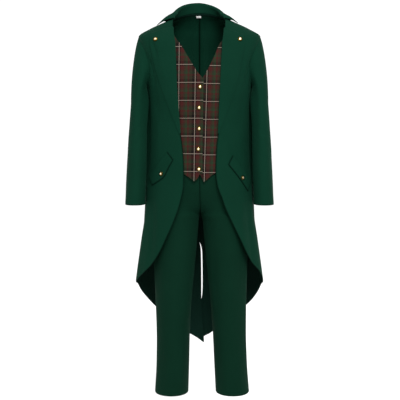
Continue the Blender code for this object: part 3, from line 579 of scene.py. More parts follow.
# How the cap springs from the armhole, from its pit to its tip: shares straight out, inwards and
# down, then the lengths over which it leaves the seam and arrives at the tube
CAP_OUT, CAP_OUT_GROWS, CAP_OUT_BENDS = 0.15, 1.39, 1.06
CAP_INWARD, CAP_DOWN = 0.25, 1.3
LEAVE_PIT, LEAVE_GROWS = 0.034, 0.131
ARRIVE_PIT, ARRIVE_GROWS = 0.09, 0.13
SLEEVE_ARC = 0.00062
SLEEVE_CREASES = {
    -1: [(70,  -0.160, 95,  -0.310, 0.006,  0.014, -0.0026),
         (35,  -0.110, 45,  -0.370, 0.000,  0.018, 0.0018),
         (118, -0.355, 58,  -0.405, 0.004,  0.007, -0.0018),
         (112, -0.395, 66,  -0.450, -0.003, 0.008, -0.0015),
         (20,  -0.420, 26,  -0.630, 0.003,  0.016, -0.0017),
         (110, -0.460, 100, -0.630, 0.000,  0.014, 0.0017),
         (310, -0.340, 250, -0.400, 0.005,  0.009, -0.0024),
         (295, -0.400, 245, -0.455, -0.004, 0.008, -0.0019),
         (232, -0.160, 216, -0.330, 0.000,  0.015, -0.0022),
         (330, -0.450, 336, -0.630, 0.000,  0.016, 0.0018)],
    1: [(62,  -0.140, 88,  -0.280, -0.005, 0.013, -0.0024),
        (30,  -0.100, 38,  -0.400, 0.003,  0.018, 0.0020),
        (108, -0.365, 46,  -0.402, -0.003, 0.008, -0.0021),
        (98,  -0.408, 42,  -0.450, 0.004,  0.007, -0.0017),
        (25,  -0.450, 17,  -0.630, -0.003, 0.017, -0.0018),
        (105, -0.470, 113, -0.630, 0.002,  0.013, 0.0016),
        (300, -0.350, 252, -0.420, -0.005, 0.009, -0.0023),
        (288, -0.420, 250, -0.475, 0.003,  0.008, -0.0017),
        (236, -0.180, 222, -0.360, 0.003,  0.015, -0.0022),
        (325, -0.400, 331, -0.620, 0.000,  0.015, 0.0018)],
}


def armhole(sign):
    """Points of the armhole seam, from the shoulder tip round the front, then up the back."""
    turn = np.linspace(0, math.pi, ARM_STEPS + 1)
    turn = np.concatenate([turn, turn[-2:0:-1]])
    fore = np.arange(len(turn)) <= ARM_STEPS
    levels = arm_level(turn, TIP, PIT)
    theta = 90 + np.where(fore, -ARM_CUT, ARM_CUT) * np.sin(turn)
    point, normal = skin(sign, theta, levels, 0), body_normal(theta, levels) * (sign, 1, 1)
    along = np.roll(point, -1, 0) - np.roll(point, 1, 0)
    inward = unit(np.cross(normal, along))
    inward[np.sum(inward * (point.mean(0) - point), axis=1) < 0] *= -1
    return turn, fore, point, normal, inward


def sleeve_ring(sign, z, turn, fore):
    """A ring of the sleeve, started on its outside and run round the front, where it lies in
    against the chest."""
    inside, outside = read(SLEEVE, "inside", z), read(SLEEVE, "outside", z)
    front, back = read(SLEEVE, "front", z), read(SLEEVE, "back", z)
    swing = np.sign(np.cos(turn)) * np.abs(np.cos(turn)) ** SLEEVE_ROUND
    lean = np.exp(-((np.degrees(turn) - HUG_TURN) / HUG_WIDTH) ** 2) * fore
    x = (inside + outside) / 2 + (outside - inside) / 2 * swing - read(SLEEVE, "hug", z) * lean
    reach = np.where(fore, -1, 1) * np.abs(np.sin(turn)) ** SLEEVE_FLAT
    y = (back - front) / 2 + (back + front) / 2 * reach
    return np.stack([sign * x, y, np.full(len(turn), z)], axis=-1)


for side, sign in SIDES.items():
    turn, fore, seam, normal, inward = armhole(sign)
    first = sleeve_ring(sign, SLEEVE["z"][0], turn, fore)
    drop = (1 + np.cos(turn))[:, None] / 2
    away = CAP_OUT + CAP_OUT_GROWS * drop - CAP_OUT_BENDS * drop * drop
    leave = normal * away + inward * CAP_INWARD * (1 - drop) + np.array([0, 0, -CAP_DOWN]) * drop
    leave = unit(leave) * (LEAVE_PIT + LEAVE_GROWS * drop)
    arrive = np.array([0, 0, -1]) * (ARRIVE_PIT + ARRIVE_GROWS * drop)
    rows = []
    for step in pinched(CAP_ROWS, 0.5):
        rows.append(bow(seam, first, leave, arrive, step))
    for z in SLEEVE["z"][0] + (SLEEVE["z"][-1] - SLEEVE["z"][0]) * pinched(TUBE_ROWS, 0.5)[1:]:
        rows.append(sleeve_ring(sign, z, turn, fore))
    grid = np.array(rows)
    out = unit(np.cross(np.roll(grid, -1, 1) - np.roll(grid, 1, 1), np.gradient(grid, axis=0)) * sign)
    degrees = np.where(fore, np.degrees(turn), 360 - np.degrees(turn))[None]
    relief = creases(degrees, grid[..., 2], SLEEVE_CREASES[sign], SLEEVE_ARC)
    relief *= ramp(np.arange(len(rows)) / CAP_ROWS, 0, CAP_SMOOTH)[:, None]
    cloth(f"sleeve_{side}", grid + out * relief[..., None], COAT, "foot", tube=True)

# Lapels. Each real lapel is the front's own cloth and its facing, turned back along a roll line
# that springs round, and lying on the chest. A gilt button holds its upper corner.
LAPEL = table(
    "roll    outer   right   left",
    (0.014,  -0.022, 0.1730, 0.1560),
    (0.004,  -0.040, 0.1745, 0.1580),
    (-0.008, -0.062, 0.1735, 0.1580),
    (-0.024, -0.088, 0.1700, 0.1560),
    (-0.045, -0.115, 0.1650, 0.1520),
    (-0.075, -0.145, 0.1580, 0.1470),
    (-0.110, -0.175, 0.1500, 0.1400),
    (-0.150, -0.210, 0.1390, 0.1310),
    (-0.195, -0.245, 0.1270, 0.1200),
    (-0.240, -0.280, 0.1140, 0.1080),
    (-0.285, -0.315, 0.1010, 0.0960),
    (-0.325, -0.345, 0.0885, 0.0840),
    (-0.360, -0.370, 0.0785, 0.0745),
    (-0.385, -0.390, 0.0705, 0.0690),
)
CORNER_LIFT, CORNER_X, CORNER_DROP = 0.0010, (0.10, 0.15), (0.06, 0.11)
LAPEL_TOP, LAPEL_END = 0.014, -0.385
for side, sign in SIDES.items():
    roll = levels_between(LAPEL_TOP, LAPEL_END, 70)
    edge_x = front_edge(side, roll)
    mids = []
    for part in np.linspace(0, 1, 9):
        bend = np.radians(lapel_start(roll) * (1 - part) + 90 * part)
        x = edge_x - LAPEL_OUT * np.cos(bend)
        mids.append(skin(sign, angle(x, roll), roll, LAPEL_OUT * np.sin(bend)))
    for part in pinched(30)[1:]:
        level = roll + (read(LAPEL, "outer", roll) - roll) * part
        x = edge_x + (read(LAPEL, side, roll) - edge_x) * part
        corner = CORNER_LIFT * ramp(x, *CORNER_X) * (1 - ramp(-level, *CORNER_DROP))
        mids.append(skin(sign, angle(x, level), level, LAPEL_OUT + corner))
    cloth(f"lapel_{side}", np.stack(mids, axis=1), COAT)

# Collar. The real one is a stand and a fall cut in wool over a stiff undercollar, sewn to the
# neck seam and turned down by hand, so that the fall stands clear of the shoulders.
COLLAR_AIM = table("theta aim sweep", (62, 2, 0.018), (75, 4, 0.008), (90, 8, 0), (115, 38, 0),
                   (145, 66, 0), (180, 90, 0))
COLLAR = {
    "right": table("theta stand   lean    reach   fall     arch",
                   (62,   0.0060, 0.001,  0.0680, -0.0190, 0.0045),
                   (75,   0.0150, -0.005, 0.0510, -0.0140, 0.0050),
                   (90,   0.0240, -0.016, 0.0345, -0.0080, 0.0040),
                   (115,  0.0330, -0.015, 0.0250, -0.0085, 0.0035),
                   (145,  0.0385, -0.010, 0.0230, -0.0150, 0.0045),
                   (180,  0.0405, 0.000,  0.0230, -0.0180, 0.0045)),
    "left": table("theta stand   lean    reach   fall     arch",
                  (62,   0.0060, 0.001,  0.0520, -0.0110, 0.0035),
                  (75,   0.0135, -0.008, 0.0370, -0.0080, 0.0030),
                  (90,   0.0200, -0.020, 0.0225, -0.0030, 0.0010),
                  (115,  0.0260, -0.019, 0.0170, -0.0045, 0.0010),
                  (145,  0.0320, -0.010, 0.0210, -0.0115, 0.0035),
                  (180,  0.0405, 0.000,  0.0230, -0.0180, 0.0045)),
}
COLLAR_START = 63
COLLAR_FOLD, FOLD_SHARE, FOLD_TURN = 0.0075, 0.45, 135
COLLAR_BASE = 0.0002


def collar_profile(stand, lean, reach, fall, arch):
    """Outward and upward steps of the collar's middle line, and how far each is down the fall."""
    radius = np.minimum(COLLAR_FOLD, stand * FOLD_SHARE)
    line = []
    for part in pinched(10, 0.7):
        line.append((lean * part * (0.8 * (1 - part) + part), (stand - radius) * part, 0))
    for bend in np.linspace(0, FOLD_TURN, 10)[1:]:
        tilt = math.radians(bend)
        line.append((lean + radius * (1 - math.cos(tilt)), stand - radius + radius * math.sin(tilt), 0))
    start = line[-1]
    for part in pinched(14, 0.7)[1:]:
        lift = arch * math.sin(math.pi * part)
        line.append((start[0] + (reach - start[0]) * part, start[1] + (fall - start[1]) * part + lift,
                     part))
    return line


halves = []
for side, sign in SIDES.items():
    theta = COLLAR_START + (180 - COLLAR_START) * np.linspace(0, 1, 60)
    seam = body(theta, np.full(len(theta), BODY_TOP)) + (0, 0, COLLAR_BASE)
    aim = np.radians(read(COLLAR_AIM, "aim", theta))
    away = np.stack([np.cos(aim), np.sin(aim), 0 * aim], axis=1)
    sweep = read(COLLAR_AIM, "sweep", theta)
    sizes = (read(COLLAR[side], column, theta) for column in ("stand", "lean", "reach", "fall", "arch"))
    steps = []
    for reach, rise, part in collar_profile(*sizes):
        swing = np.stack([0 * sweep, sweep * part, rise + 0 * sweep], axis=1)
        steps.append((seam + away * (reach + 0 * sweep)[:, None] + swing) * (sign, 1, 1))
    halves.append(np.stack(steps, axis=1))
grid = np.concatenate([halves[0], halves[1][-2::-1]])
cloth("collar", grid, COAT, "top foot start end")

# Neck label. The real one is a small folded tape of white satin weave, sewn inside the back just
# under the neck seam. It is left blank.
LABEL_CLOTH = 0.0010
LABEL_SHIFT, LABEL_HALF, LABEL_OUT = -0.0030, 0.0090, -0.0048
LABEL_TOP, LABEL_FOOT = 0.0230, 0.0190
LABEL_THREADS = 2600
label_satin = Finish("label_satin", {"Sheen Weight": 0.3})
across, along = label_satin.weave()
threads = label_satin.maths("SINE", across * LABEL_THREADS) * 0.5 + 0.5
label_satin.looks("Base Color", label_satin.mix(threads * 0.5, (0.62, 0.62, 0.60), (0.86, 0.86, 0.84)))
label_satin.looks("Roughness", 0.45 + threads * 0.15)
label_levels = levels_between(LABEL_TOP, LABEL_FOOT, 8)
label_x = LABEL_SHIFT + LABEL_HALF * (2 * pinched(20) - 1)
label_theta = np.array([angle(label_x, level, rear=True) for level in label_levels])
cloth("neck_label", skin(1, label_theta, label_levels[:, None], LABEL_OUT),
      (LABEL_CLOTH, label_satin.material, "label"))

# Pocket flaps. Each real flap is a lined, pointed strip of the coat's wool, sewn in at its upper
# edge on a slant and stitched round the rest. A gilt button sits at its middle.
FLAP = {
    "right": table("along x_top   z_top    x_low   z_low",
                   (0.00, 0.1132, -0.4516, 0.0921, -0.480),
                   (0.30, 0.1330, -0.4780, 0.1085, -0.509),
                   (0.55, 0.1510, -0.5030, 0.1246, -0.541),
                   (0.80, 0.1700, -0.5280, 0.1470, -0.560),
                   (1.00, 0.1815, -0.5460, 0.1680, -0.574)),
    "left": table("along x_top   z_top    x_low   z_low",
                  (0.00, 0.1172, -0.4644, 0.1011, -0.4961),
                  (0.30, 0.1360, -0.4900, 0.1190, -0.5190),
                  (0.55, 0.1530, -0.5150, 0.1380, -0.5440),
                  (0.80, 0.1710, -0.5420, 0.1560, -0.5700),
                  (1.00, 0.1830, -0.5600, 0.1730, -0.5970)),
}
FLAP_OUT = COAT_CLOTH + 0.0016
FLAP_COLUMNS, FLAP_ROWS = 48, 18
for side, sign in SIDES.items():
    along = pinched(FLAP_COLUMNS)
    top = np.stack([read(FLAP[side], "x_top", along), read(FLAP[side], "z_top", along)], axis=1)
    low = np.stack([read(FLAP[side], "x_low", along), read(FLAP[side], "z_low", along)], axis=1)
    place = top + (low - top) * pinched(FLAP_ROWS)[:, None, None]
    theta = angle(place[..., 0], place[..., 1])
    cloth(f"pocket_flap_{side}", skin(sign, theta, place[..., 1], FLAP_OUT), COAT,
          "start foot end")

# Waistcoat backs. The real ones are two panels of thin dark green lining cloth, joined at the
# centre back and sewn to the fronts at the side and shoulder. They show only inside the neck.
VEST_CLOTH = 0.0016
LAYER = 0.0005
LOOSE, NECK_TURN, NECK_DROP = 0.0018, (20, 70), (0.004, 0.030)
VEST_TOP, VEST_TIP, VEST_PIT, VEST_WAIST, VEST_FOOT = 0.0235, -0.0120, -0.245, -0.440, -0.505
VEST_ARM = {"front": 40.0, "back": 36.0}
VEST_BACK_COLUMNS, VEST_BACK_ROWS = 36, 10
vest_lining = wool("vest_lining", (0.0010, 0.0112, 0.0060), (0.0022, 0.0170, 0.0096), 0.70, 0.02)
vest_levels, vest_cut = armhole_rows(VEST_TOP, VEST_TIP, VEST_PIT, VEST_WAIST, 10, 36, 30)


def vest_inset(theta, level):
    """Depth of the waistcoat inside the coat: close at the back of the neck, freer elsewhere."""
    loose = np.maximum(ramp(180 - theta, *NECK_TURN), ramp(-np.asarray(level), *NECK_DROP))
    return (COAT_CLOTH + VEST_CLOTH) / 2 + LAYER + LOOSE * loose


SEAM_FOLDS = {
    -1: [(178.1, 0.030, 178.1, -0.400, 0.000,  0.0030, -0.0045),
         (173.0, 0.020, 175.5, -0.330, 0.003,  0.0080, -0.0050)],
    1: [(178.3, 0.030, 178.3, -0.400, 0.000,  0.0030, -0.0030),
        (170.0, 0.020, 173.0, -0.300, -0.003, 0.0090, -0.0030)],
}
for side, sign in SIDES.items():
    back_levels = np.append(vest_levels, levels_between(VEST_WAIST, VEST_FOOT, VEST_BACK_ROWS)[1:])
    back_cut = np.append(vest_cut, np.zeros(VEST_BACK_ROWS))
    theta = spread(180 + 0 * back_levels, 90 + VEST_ARM["back"] * back_cut, VEST_BACK_COLUMNS)
    folded = creases(theta, back_levels[:, None], SEAM_FOLDS[sign], BODY_ARC)
    inset = vest_inset(theta, back_levels[:, None])
    cloth(f"vest_back_{side}", skin(sign, theta, back_levels[:, None], folded - inset),
          (VEST_CLOTH, vest_lining, "waistcoat_back"), "top foot start")

# Waistcoat fronts. Each real front is a panel of red, green and black tartan with a white
# overcheck, with a V neck and a pointed hem. The wearer's right front buttons over the left.
VEST_EDGE = table(
    "level   right    left",
    (0.016,  0.0960,  0.0940),
    (0.003,  0.0915,  0.0900),
    (-0.010, 0.0850,  0.0860),
    (-0.030, 0.0755,  0.0785),
    (-0.045, 0.0690,  0.0720),
    (-0.100, 0.0445,  0.0540),
    (-0.140, 0.0250,  0.0390),
    (-0.160, 0.0145,  0.0295),
    (-0.175, 0.0040,  0.0210),
    (-0.190, -0.0095, 0.0117),
    (-0.205, -0.0145, 0.0000),
    (-0.225, -0.0143, -0.0090),
    (-0.300, -0.0130, -0.0110),
    (-0.600, -0.0080, -0.0140),
)
VEST_HEM = table(
    "x        right    left",
    (-0.0250, -0.5300, -0.510),
    (-0.0100, -0.5280, -0.510),
    (-0.0057, -0.5267, -0.520),
    (0.0100,  -0.5460, -0.542),
    (0.0165,  -0.5520, -0.557),
    (0.0216,  -0.5551, -0.556),
    (0.0300,  -0.5500, -0.550),
    (0.0550,  -0.5340, -0.531),
    (0.0900,  -0.5180, -0.518),
    (0.1400,  -0.5080, -0.508),
    (0.1900,  -0.5050, -0.505),
)
VEST_LAP = VEST_CLOTH + LAYER
SETT_WIDE, SETT_HIGH = 0.0575, 0.0626
LINE_HALF, LINE_CLEAR = 0.013, 0.85
TARTAN_TWILL = 0.0016
WEFT_LEAST, WEFT_MORE = 0.22, 0.36
SLUBS, SLUB_SHADE, SLUB_TONE = 700.0, 0.6, (0.55, 0.55, 0.55)
TWILL_HIGH, SLUB_HIGH = 0.00012, 0.0001
SETT = (("line", 0.0), ("black", LINE_HALF), ("red", 0.095), ("moss", 0.290), ("green", 0.400),
        ("red", 0.530), ("moss", 0.640), ("black", 0.820), ("line", 1 - LINE_HALF))
YARNS = {"line": (0.150, 0.120, 0.098), "black": (0.0032, 0.0020, 0.0018),
         "red": (0.0275, 0.0056, 0.0048), "moss": (0.0130, 0.0108, 0.0060),
         "green": (0.0086, 0.0178, 0.0078)}
tartan = Finish("tartan", {"Sheen Weight": 0.02, "Sheen Roughness": 0.5, "Specular IOR Level": 0.04})
across, along = tartan.weave()
warp_at = tartan.maths("FLOORED_MODULO", across / SETT_WIDE, 1.0)
weft_at = tartan.maths("FLOORED_MODULO", along / SETT_HIGH, 1.0)
stripes = {"interpolation": "CONSTANT", "stops": [(place, YARNS[yarn]) for yarn, place in SETT]}
warp, weft = (tartan.node("ShaderNodeValToRGB", stripes, {0: at}) for at in (warp_at, weft_at))
twill = tartan.maths("PINGPONG", (across + along) / TARTAN_TWILL, 1.0)
over = tartan.maths("GREATER_THAN", twill, 0.5)
woven = tartan.mix(WEFT_LEAST + over * WEFT_MORE, warp, weft)
lines = [tartan.maths("GREATER_THAN", tartan.maths("ABSOLUTE", at - 0.5), 0.5 - LINE_HALF)
         for at in (warp_at, weft_at)]
slub = tartan.noise(SLUBS)
overcheck = tartan.mix(tartan.maths("MAXIMUM", *lines) * LINE_CLEAR, woven, YARNS["line"])
tartan.looks("Base Color", tartan.mix(slub * SLUB_SHADE, overcheck, SLUB_TONE, "MULTIPLY"))
tartan.looks("Roughness", 0.72 + slub * 0.12)
tartan.relief(0.8, twill * TWILL_HIGH + slub * SLUB_HIGH)
SLANT = {"right": 0.0127, "left": 0.0258}
LINE_AT = {"right": -0.0149, "left": 0.0262}
LINE_TOP = {"right": -0.2072, "left": -0.2112}
LINE_LEVEL = -0.18
LAP_X, LAP_DROP = (0.018, 0.050), (0.12, 0.17)
VEST_COLUMNS, HEM_ROWS = 56, 24
HEM_LEVEL, HEM_POWER = -0.5, 2.4
for side, sign in SIDES.items():
    edge = angle(read(VEST_EDGE, side, vest_levels), vest_levels)
    theta = edge[:, None] + (90 - VEST_ARM["front"] * vest_cut - edge)[:, None] * pinched(VEST_COLUMNS, 0.7)
    levels = np.repeat(vest_levels[:, None], theta.shape[1], 1)
    last = theta[-1:]
    sine = np.abs(np.sin(np.radians(last)))
    x = read(BODY, "half", HEM_LEVEL) * np.sign(last) * sine ** (2 / HEM_POWER)
    for part in pinched(HEM_ROWS, 0.6)[1:]:
        theta = np.vstack([theta, last])
        levels = np.vstack([levels, VEST_WAIST + (read(VEST_HEM, side, x) - VEST_WAIST) * part])
    x = body(theta, levels)[..., 0]
    lap = VEST_LAP * (1 - ramp(x, *LAP_X)) if side == "right" else 0
    lap = lap * ramp(-levels, *LAP_DROP)
    middle = skin(sign, theta, levels, lap - vest_inset(theta, levels))
    girth = runs(middle * (1, 1, 0), 1)
    lean = LINE_AT[side] + SLANT[side] * (middle[..., 2] - LINE_LEVEL)
    lay = girth * sign + middle[:, :1, 0] - lean, LINE_TOP[side] - middle[..., 2]
    cloth(f"vest_front_{side}", middle, (VEST_CLOTH, tartan.material, "tartan_cloth"),
          lay=lay)

# Trousers' waistband. The real one is a doubled strip of the trouser cloth, stiffened and
# buttoned, and sewn round the top of the legs. The waistcoat hides it.
LEG_CLOTH = 0.0016
WAIST_TOP, WAIST_LOW, WAIST_FREE = -0.402, -0.438, 0.0055
WAIST_CLEAR = 0.0007
# Width of the painted shade along the trousers' stitched edges.
LEG_PAINTED_EDGE_SHADE = 0.0022
trouser_twill = wool("trouser_twill", (0.0010, 0.0082, 0.0043), (0.0019, 0.0127, 0.0070), 0.85, 0.015,
                     LEG_PAINTED_EDGE_SHADE)
TROUSERS = LEG_CLOTH, trouser_twill, "trouser_cloth"
waist_half = np.linspace(0, 180, 61)
waist_theta = np.concatenate([waist_half, 360 - waist_half[-2:0:-1]])
waist_out = -(vest_inset(90, WAIST_TOP) + (VEST_CLOTH + LEG_CLOTH) / 2 + WAIST_CLEAR)
rows = []
for level in levels_between(WAIST_TOP, WAIST_LOW, 10):
    near = skin(1, np.minimum(waist_theta, 360 - waist_theta), level, waist_out)
    rows.append(near * np.where(waist_theta > 180, -1, 1)[:, None] ** np.array([1, 0, 0]))
cloth("trouser_waistband", np.array(rows), TROUSERS, tube=True)

# Trouser legs. Each real leg is a front and a back panel of plain dark green twill, joined at the
# side and the inseam, and both legs at the centre seam. The hems are plain and hang free.
TRUNK = table(
    "z      half    front  back",
    (-0.52, 0.1830, 0.116, 0.112),
    (-0.60, 0.1790, 0.112, 0.115),
    (-0.69, 0.1745, 0.106, 0.112),
)
LEG = table(
    "z       inner   outer   front   back    shift",
    (-0.520, 0.0000, 0.1790, 0.1050, 0.1120, 0.0000),
    (-0.640, 0.0006, 0.1750, 0.1030, 0.1100, 0.0020),
    (-0.683, 0.0024, 0.1745, 0.1000, 0.1070, 0.0030),
    (-0.705, 0.0075, 0.1740, 0.0980, 0.1050, 0.0045),
    (-0.780, 0.0135, 0.1735, 0.0930, 0.0980, 0.0040),
    (-0.890, 0.0240, 0.1720, 0.0870, 0.0900, 0.0045),
    (-1.005, 0.0355, 0.1685, 0.0800, 0.0820, 0.0052),
    (-1.130, 0.0435, 0.1665, 0.0745, 0.0765, 0.0068),
    (-1.240, 0.0475, 0.1690, 0.0725, 0.0745, 0.0082),
    (-1.356, 0.0520, 0.1765, 0.0720, 0.0740, 0.0095),
)
LEG_ROWS = table(
    "side    centre  split",
    (-0.439, -0.439, 0.00),
    (-0.475, -0.475, 0.00),
    (-0.525, -0.525, 0.00),
    (-0.570, -0.570, 0.04),
    (-0.605, -0.610, 0.14),
    (-0.630, -0.640, 0.28),
    (-0.648, -0.661, 0.46),
    (-0.662, -0.673, 0.67),
    (-0.674, -0.679, 0.87),
    (-0.686, -0.683, 1.00),
    (-0.705, -0.705, 1.00),
    (-1.355, -1.355, 1.00),
)
LEG_TOP, FORK, LEG_FOOT = -0.439, -0.705, -1.355
TRUNK_ROUND, LEG_ROUND = 0.85, 0.95
LEG_COLUMNS, LEG_EDGE = 44, 0.03
FREE_DROP, HIPS_DROP = (0.430, 0.475), (0.45, 0.62)
LEG_ARC = 0.21
LEG_CREASES = {
    "front_right": [(0.10, -0.60, 0.36, -0.74, 0.000,  0.012, -0.0009),
                    (0.52, -0.72, 0.49, -1.32, 0.005,  0.013, 0.0020),
                    (0.22, -0.94, 0.42, -1.05, -0.005, 0.011, -0.0018),
                    (0.78, -0.98, 0.52, -1.07, 0.005,  0.010, -0.0016),
                    (0.86, -0.60, 0.80, -0.96, 0.000,  0.016, -0.0024),
                    (0.30, -1.18, 0.36, -1.35, 0.003,  0.014, 0.0020),
                    (0.70, -1.16, 0.65, -1.35, -0.003, 0.013, -0.0020)],
    "front_left": [(0.08, -0.60, 0.34, -0.76, 0.000,  0.013, -0.0009),
                   (0.31, -0.78, 0.27, -1.06, 0.004,  0.016, -0.0036),
                   (0.50, -0.74, 0.52, -1.30, -0.004, 0.013, 0.0018),
                   (0.82, -0.78, 0.87, -1.25, -0.004, 0.012, 0.0028),
                   (0.76, -0.96, 0.48, -1.04, -0.005, 0.011, -0.0016),
                   (0.24, -1.15, 0.30, -1.34, 0.003,  0.015, -0.0020),
                   (0.64, -1.20, 0.66, -1.35, 0.000,  0.013, 0.0018)],
    "back_right": [(0.14, -0.64, 0.42, -0.78, 0.005,  0.014, -0.0030),
                   (0.48, -0.70, 0.50, -1.28, -0.005, 0.014, 0.0020),
                   (0.20, -0.99, 0.70, -1.03, 0.006,  0.012, -0.0024),
                   (0.82, -0.90, 0.78, -1.30, 0.000,  0.016, -0.0020)],
    "back_left": [(0.12, -0.63, 0.46, -0.76, -0.005, 0.013, -0.0028),
                  (0.52, -0.72, 0.49, -1.30, 0.005,  0.014, 0.0022),
                  (0.26, -1.01, 0.74, -0.98, -0.005, 0.011, -0.0022),
                  (0.80, -0.94, 0.84, -1.32, 0.000,  0.016, -0.0018)],
}


def leg_grid(sign, face, share):
    """A leg's panel, from the centre seam or inseam round to the side seam."""
    side_z = np.append(levels_between(LEG_TOP, FORK, 46), levels_between(FORK, LEG_FOOT, 76)[1:])
    centre_z, split = read(LEG_ROWS, "centre", side_z)[:, None], read(LEG_ROWS, "split", side_z)[:, None]
    z = centre_z + (side_z[:, None] - centre_z) * ramp(share, 0, 1)
    fore = -1 if face == "front" else 1
    free = WAIST_FREE * ramp(-z, *FREE_DROP)
    waist = skin(1, share * 90 if face == "front" else 180 - share * 90, z, waist_out - free)
    hips = ramp(-z, *HIPS_DROP)
    turn = share * math.pi / 2
    trunk_x = read(TRUNK, "half", z) * np.sin(turn) ** TRUNK_ROUND
    trunk_y = read(TRUNK, face, z) * np.cos(turn) ** TRUNK_ROUND * fore
    hips_x = waist[..., 0] + (trunk_x - waist[..., 0]) * hips
    hips_y = waist[..., 1] + (trunk_y - waist[..., 1]) * hips
    turn = (share * 2 - 1) * math.pi / 2
    inner, outer = read(LEG, "inner", z), read(LEG, "outer", z)
    leg_y = read(LEG, face, z) * np.abs(np.cos(turn)) ** LEG_ROUND * fore
    leg_x = (inner + outer) / 2 + (outer - inner) / 2 * np.sign(turn) * np.abs(np.sin(turn)) ** LEG_ROUND
    x, y = hips_x + (leg_x - hips_x) * split, hips_y + (leg_y - hips_y) * split
    return np.stack([sign * x + read(LEG, "shift", z), y, z], axis=-1)


leg_share = pinched(LEG_COLUMNS, 0.6)[None]
for face, fore in (("front", -1), ("back", 1)):
    for side, sign in SIDES.items():
        grid = leg_grid(sign, face, leg_share)
        out = unit(np.cross(np.gradient(grid, axis=1), np.gradient(grid, axis=0)) * sign * fore)
        relief = creases(leg_share, grid[..., 2], LEG_CREASES[f"{face}_{side}"], LEG_ARC)
        relief *= ramp(np.minimum(runs(grid, 1), runs(grid[:, ::-1], 1)[:, ::-1]), 0, LEG_EDGE)
        # The fronts' stitched start edges, at the centre seam and inseam, carry painted shade between the
        # legs.
        cloth(f"trouser_{face}_{side}", grid + out * relief[..., None], TROUSERS,
              "foot start" if face == "front" else "foot")

# Buttons. The real ones are pressed brass with a gilt finish: a domed front with a rolled rim
# over a flat back, on a short shank that is sewn through the cloth.
BUTTON = table(
    "step radius height",
    (0,   0.26,  0.00000),
    (1,   0.26,  0.00100),
    (2,   0.80,  0.00110),
    (3,   0.95,  0.00130),
    (4,   1.00,  0.00190),
    (5,   0.96,  0.00240),
    (6,   0.88,  0.00250),
    (7,   0.80,  0.00280),
    (8,   0.62,  0.00380),
    (9,   0.40,  0.00440),
    (10,  0.18,  0.00465),
)
BUTTON_SIDES = 40
BUTTON_STEPS = np.linspace(0, 10, 21)
BACK_RINGS = 4
BUTTON_CLEAR = 0.0003
WEAR_SPOTS, WEAR_HIGH = 260.0, 0.0001
# The gilt's colours run from near black at the rolled rim and the back, which is painted shade, through the
# gilt's own gold, to a pale cream on top of the dome, which is a painted highlight.
GILT_SHADE_TO_HIGHLIGHT = [(0.0, (0.028, 0.020, 0.003)), (0.46, (0.050, 0.034, 0.005)),
        (0.60, (0.46, 0.32, 0.14)), (0.80, (0.92, 0.78, 0.58))]
SMALL_BUTTON, LAPEL_BUTTON = 0.0078, 0.0080
gilt = Finish("gilt_brass", {"Metallic": 1.0, "Specular Tint": (0.45, 0.35, 0.12, 1)})
wear = gilt.noise(WEAR_SPOTS, 4.0)
wear_and_painted_light = gilt.painted("from_rim") + wear * 0.1
gilt.looks("Base Color", gilt.node("ShaderNodeValToRGB", {"stops": GILT_SHADE_TO_HIGHLIGHT}, {0: wear_and_painted_light}))
gilt.looks("Roughness", 0.22 + wear * 0.22)
gilt.relief(0.4, wear * WEAR_HIGH)


def button(node, side, x, level, raised, radius):
    sign = SIDES[side]
    theta = angle(x, level)
    axis = body_normal(theta, level) * (sign, 1, 1)
    centre = skin(sign, theta, level, raised + BUTTON_CLEAR)
    right = unit(np.cross(axis, (0, 0, 1.0)))
    up = np.cross(right, axis)
    turn = np.linspace(0, math.tau, BUTTON_SIDES, endpoint=False)
    ring = right * np.cos(turn)[:, None] + up * np.sin(turn)[:, None]
    verts, faces, n = [centre[None]], [], BUTTON_SIDES
    radii = read(BUTTON, "radius", BUTTON_STEPS)
    for share, height in zip(radii, read(BUTTON, "height", BUTTON_STEPS)):
        verts.append(centre + axis * height + ring * share * radius)
    verts.append((centre + axis * BUTTON["height"][-1])[None])
    top = 1 + len(radii) * n
    for k in range(n):
        j = (k + 1) % n
        faces.append((0, 1 + j, 1 + k))
        faces.append((top, top - n + k, top - n + j))
        for r in range(len(radii) - 1):
            low, high = 1 + r * n, 1 + (r + 1) * n
            faces.append((low + k, low + j, high + j, high + k))
    mesh = bpy.data.meshes.new(node)
    mesh.from_pydata(np.concatenate(verts).tolist(), [], faces)
    # from_rim is 0 at the rim and over the back, and 1 at the dome's top. It places the painted shade and
    # highlight.
    from_rim = np.concatenate([[0], np.repeat(1 - radii, n), [1]])
    from_rim[1:1 + n * BACK_RINGS] = 0
    mesh.attributes.new("from_rim", "FLOAT", "POINT").data.foreach_set(
        "value", from_rim.astype(np.float32))
    mesh.materials.append(gilt.material)
    mesh.shade_smooth()
    piece = added(node + "_gilt", mesh)
    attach(piece, "root")
    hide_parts(node)


VEST_BUTTONS = table(
    "x        z",
    (-0.0020, -0.2230),
    (0.0012,  -0.2960),
    (0.0012,  -0.3690),
    (0.0040,  -0.4410),
    (0.0022,  -0.5120),
)
for number, (x, z) in enumerate(zip(VEST_BUTTONS["x"], VEST_BUTTONS["z"]), 1):
    button(f"vest_button_{number}", "right", x, z, VEST_LAP - vest_inset(0, z) + VEST_CLOTH / 2,
           SMALL_BUTTON)
for side, x, level in (("right", 0.1535, -0.0395), ("left", 0.1415, -0.0370)):
    button(f"lapel_button_{side}", side, x, level, LAPEL_OUT + CORNER_LIFT + COAT_CLOTH / 2,
           LAPEL_BUTTON)
for side, x, level in (("right", 0.1340, -0.5308), ("left", 0.1512, -0.5458)):
    button(f"flap_button_{side}", side, x, level, FLAP_OUT + COAT_CLOTH / 2, SMALL_BUTTON)

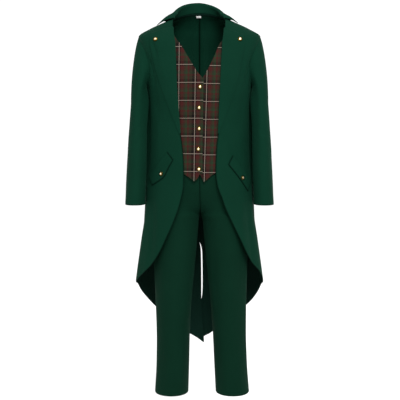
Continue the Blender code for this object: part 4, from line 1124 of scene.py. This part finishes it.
# Floor and light. A plain pale studio floor lies well below the hems, under a white sky, with
# one broad soft lamp high in front and two fainter ones at the sides.
FLOOR_REACH, FLOOR_DROP = 40.0, 0.45
SKY_STRENGTH = 1.1
floor_z = float(cad_low.z) - FLOOR_DROP
floor_mesh = bpy.data.meshes.new("floor")
floor_mesh.from_pydata([(FLOOR_REACH * x, FLOOR_REACH * y, floor_z)
                        for x, y in ((-1, -1), (1, -1), (1, 1), (-1, 1))], [], [(0, 1, 2, 3)])
floor_paint = Finish("floor_paint", {"Base Color": (0.93, 0.93, 0.93, 1), "Roughness": 0.9})
floor_mesh.materials.append(floor_paint.material)
added("floor", floor_mesh)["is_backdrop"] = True
world = bpy.data.worlds.new("studio")
world.use_nodes = True
sky = world.node_tree.nodes["Background"]
sky.inputs["Color"].default_value = (1, 1, 1, 1)
sky.inputs["Strength"].default_value = SKY_STRENGTH
bpy.context.scene.world = world
bpy.context.scene.view_settings.view_transform = "Standard"
LAMPS = {"front_high": ((0.5, -3.6, 2.6), 1.8, 352), "side_left": ((3.0, -1.6, 0.6), 1.6, 14),
         "side_right": ((-3.0, -1.2, 0.4), 1.6, 8)}
LAMPS_AIM = (0, 0, -0.5)
for name, (place, size, power) in LAMPS.items():
    light = bpy.data.lights.new(name, "AREA")
    light.size = size
    light.energy = power
    lamp = added(name, light)
    lamp.location = place
    aim = np.array(LAMPS_AIM) - place
    pan, tilt = math.atan2(aim[0], -aim[1]), math.acos(aim[2] / np.linalg.norm(aim))
    lamp.rotation_euler = (math.pi - tilt, 0, math.pi + pan)

# Camera. It stands where the photograph was taken, with a long lens, about half way down the
# coat, and looks a little down. The lens's length is given in pixels of the photograph.
PHOTO_SIDE, LENS_LENGTH = 400, 870
SENSOR = 36
CAMERA_PLACE, CAMERA_DOWN = (0.0018, -3.2, -0.331), 5.4
camera = added("camera", bpy.data.cameras.new("camera"))
camera.data.sensor_width = SENSOR
camera.data.lens = SENSOR * LENS_LENGTH / PHOTO_SIDE
camera.location = CAMERA_PLACE
camera.rotation_euler = (math.radians(90 - CAMERA_DOWN), 0, 0)
bpy.context.scene.camera = camera

low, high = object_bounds()
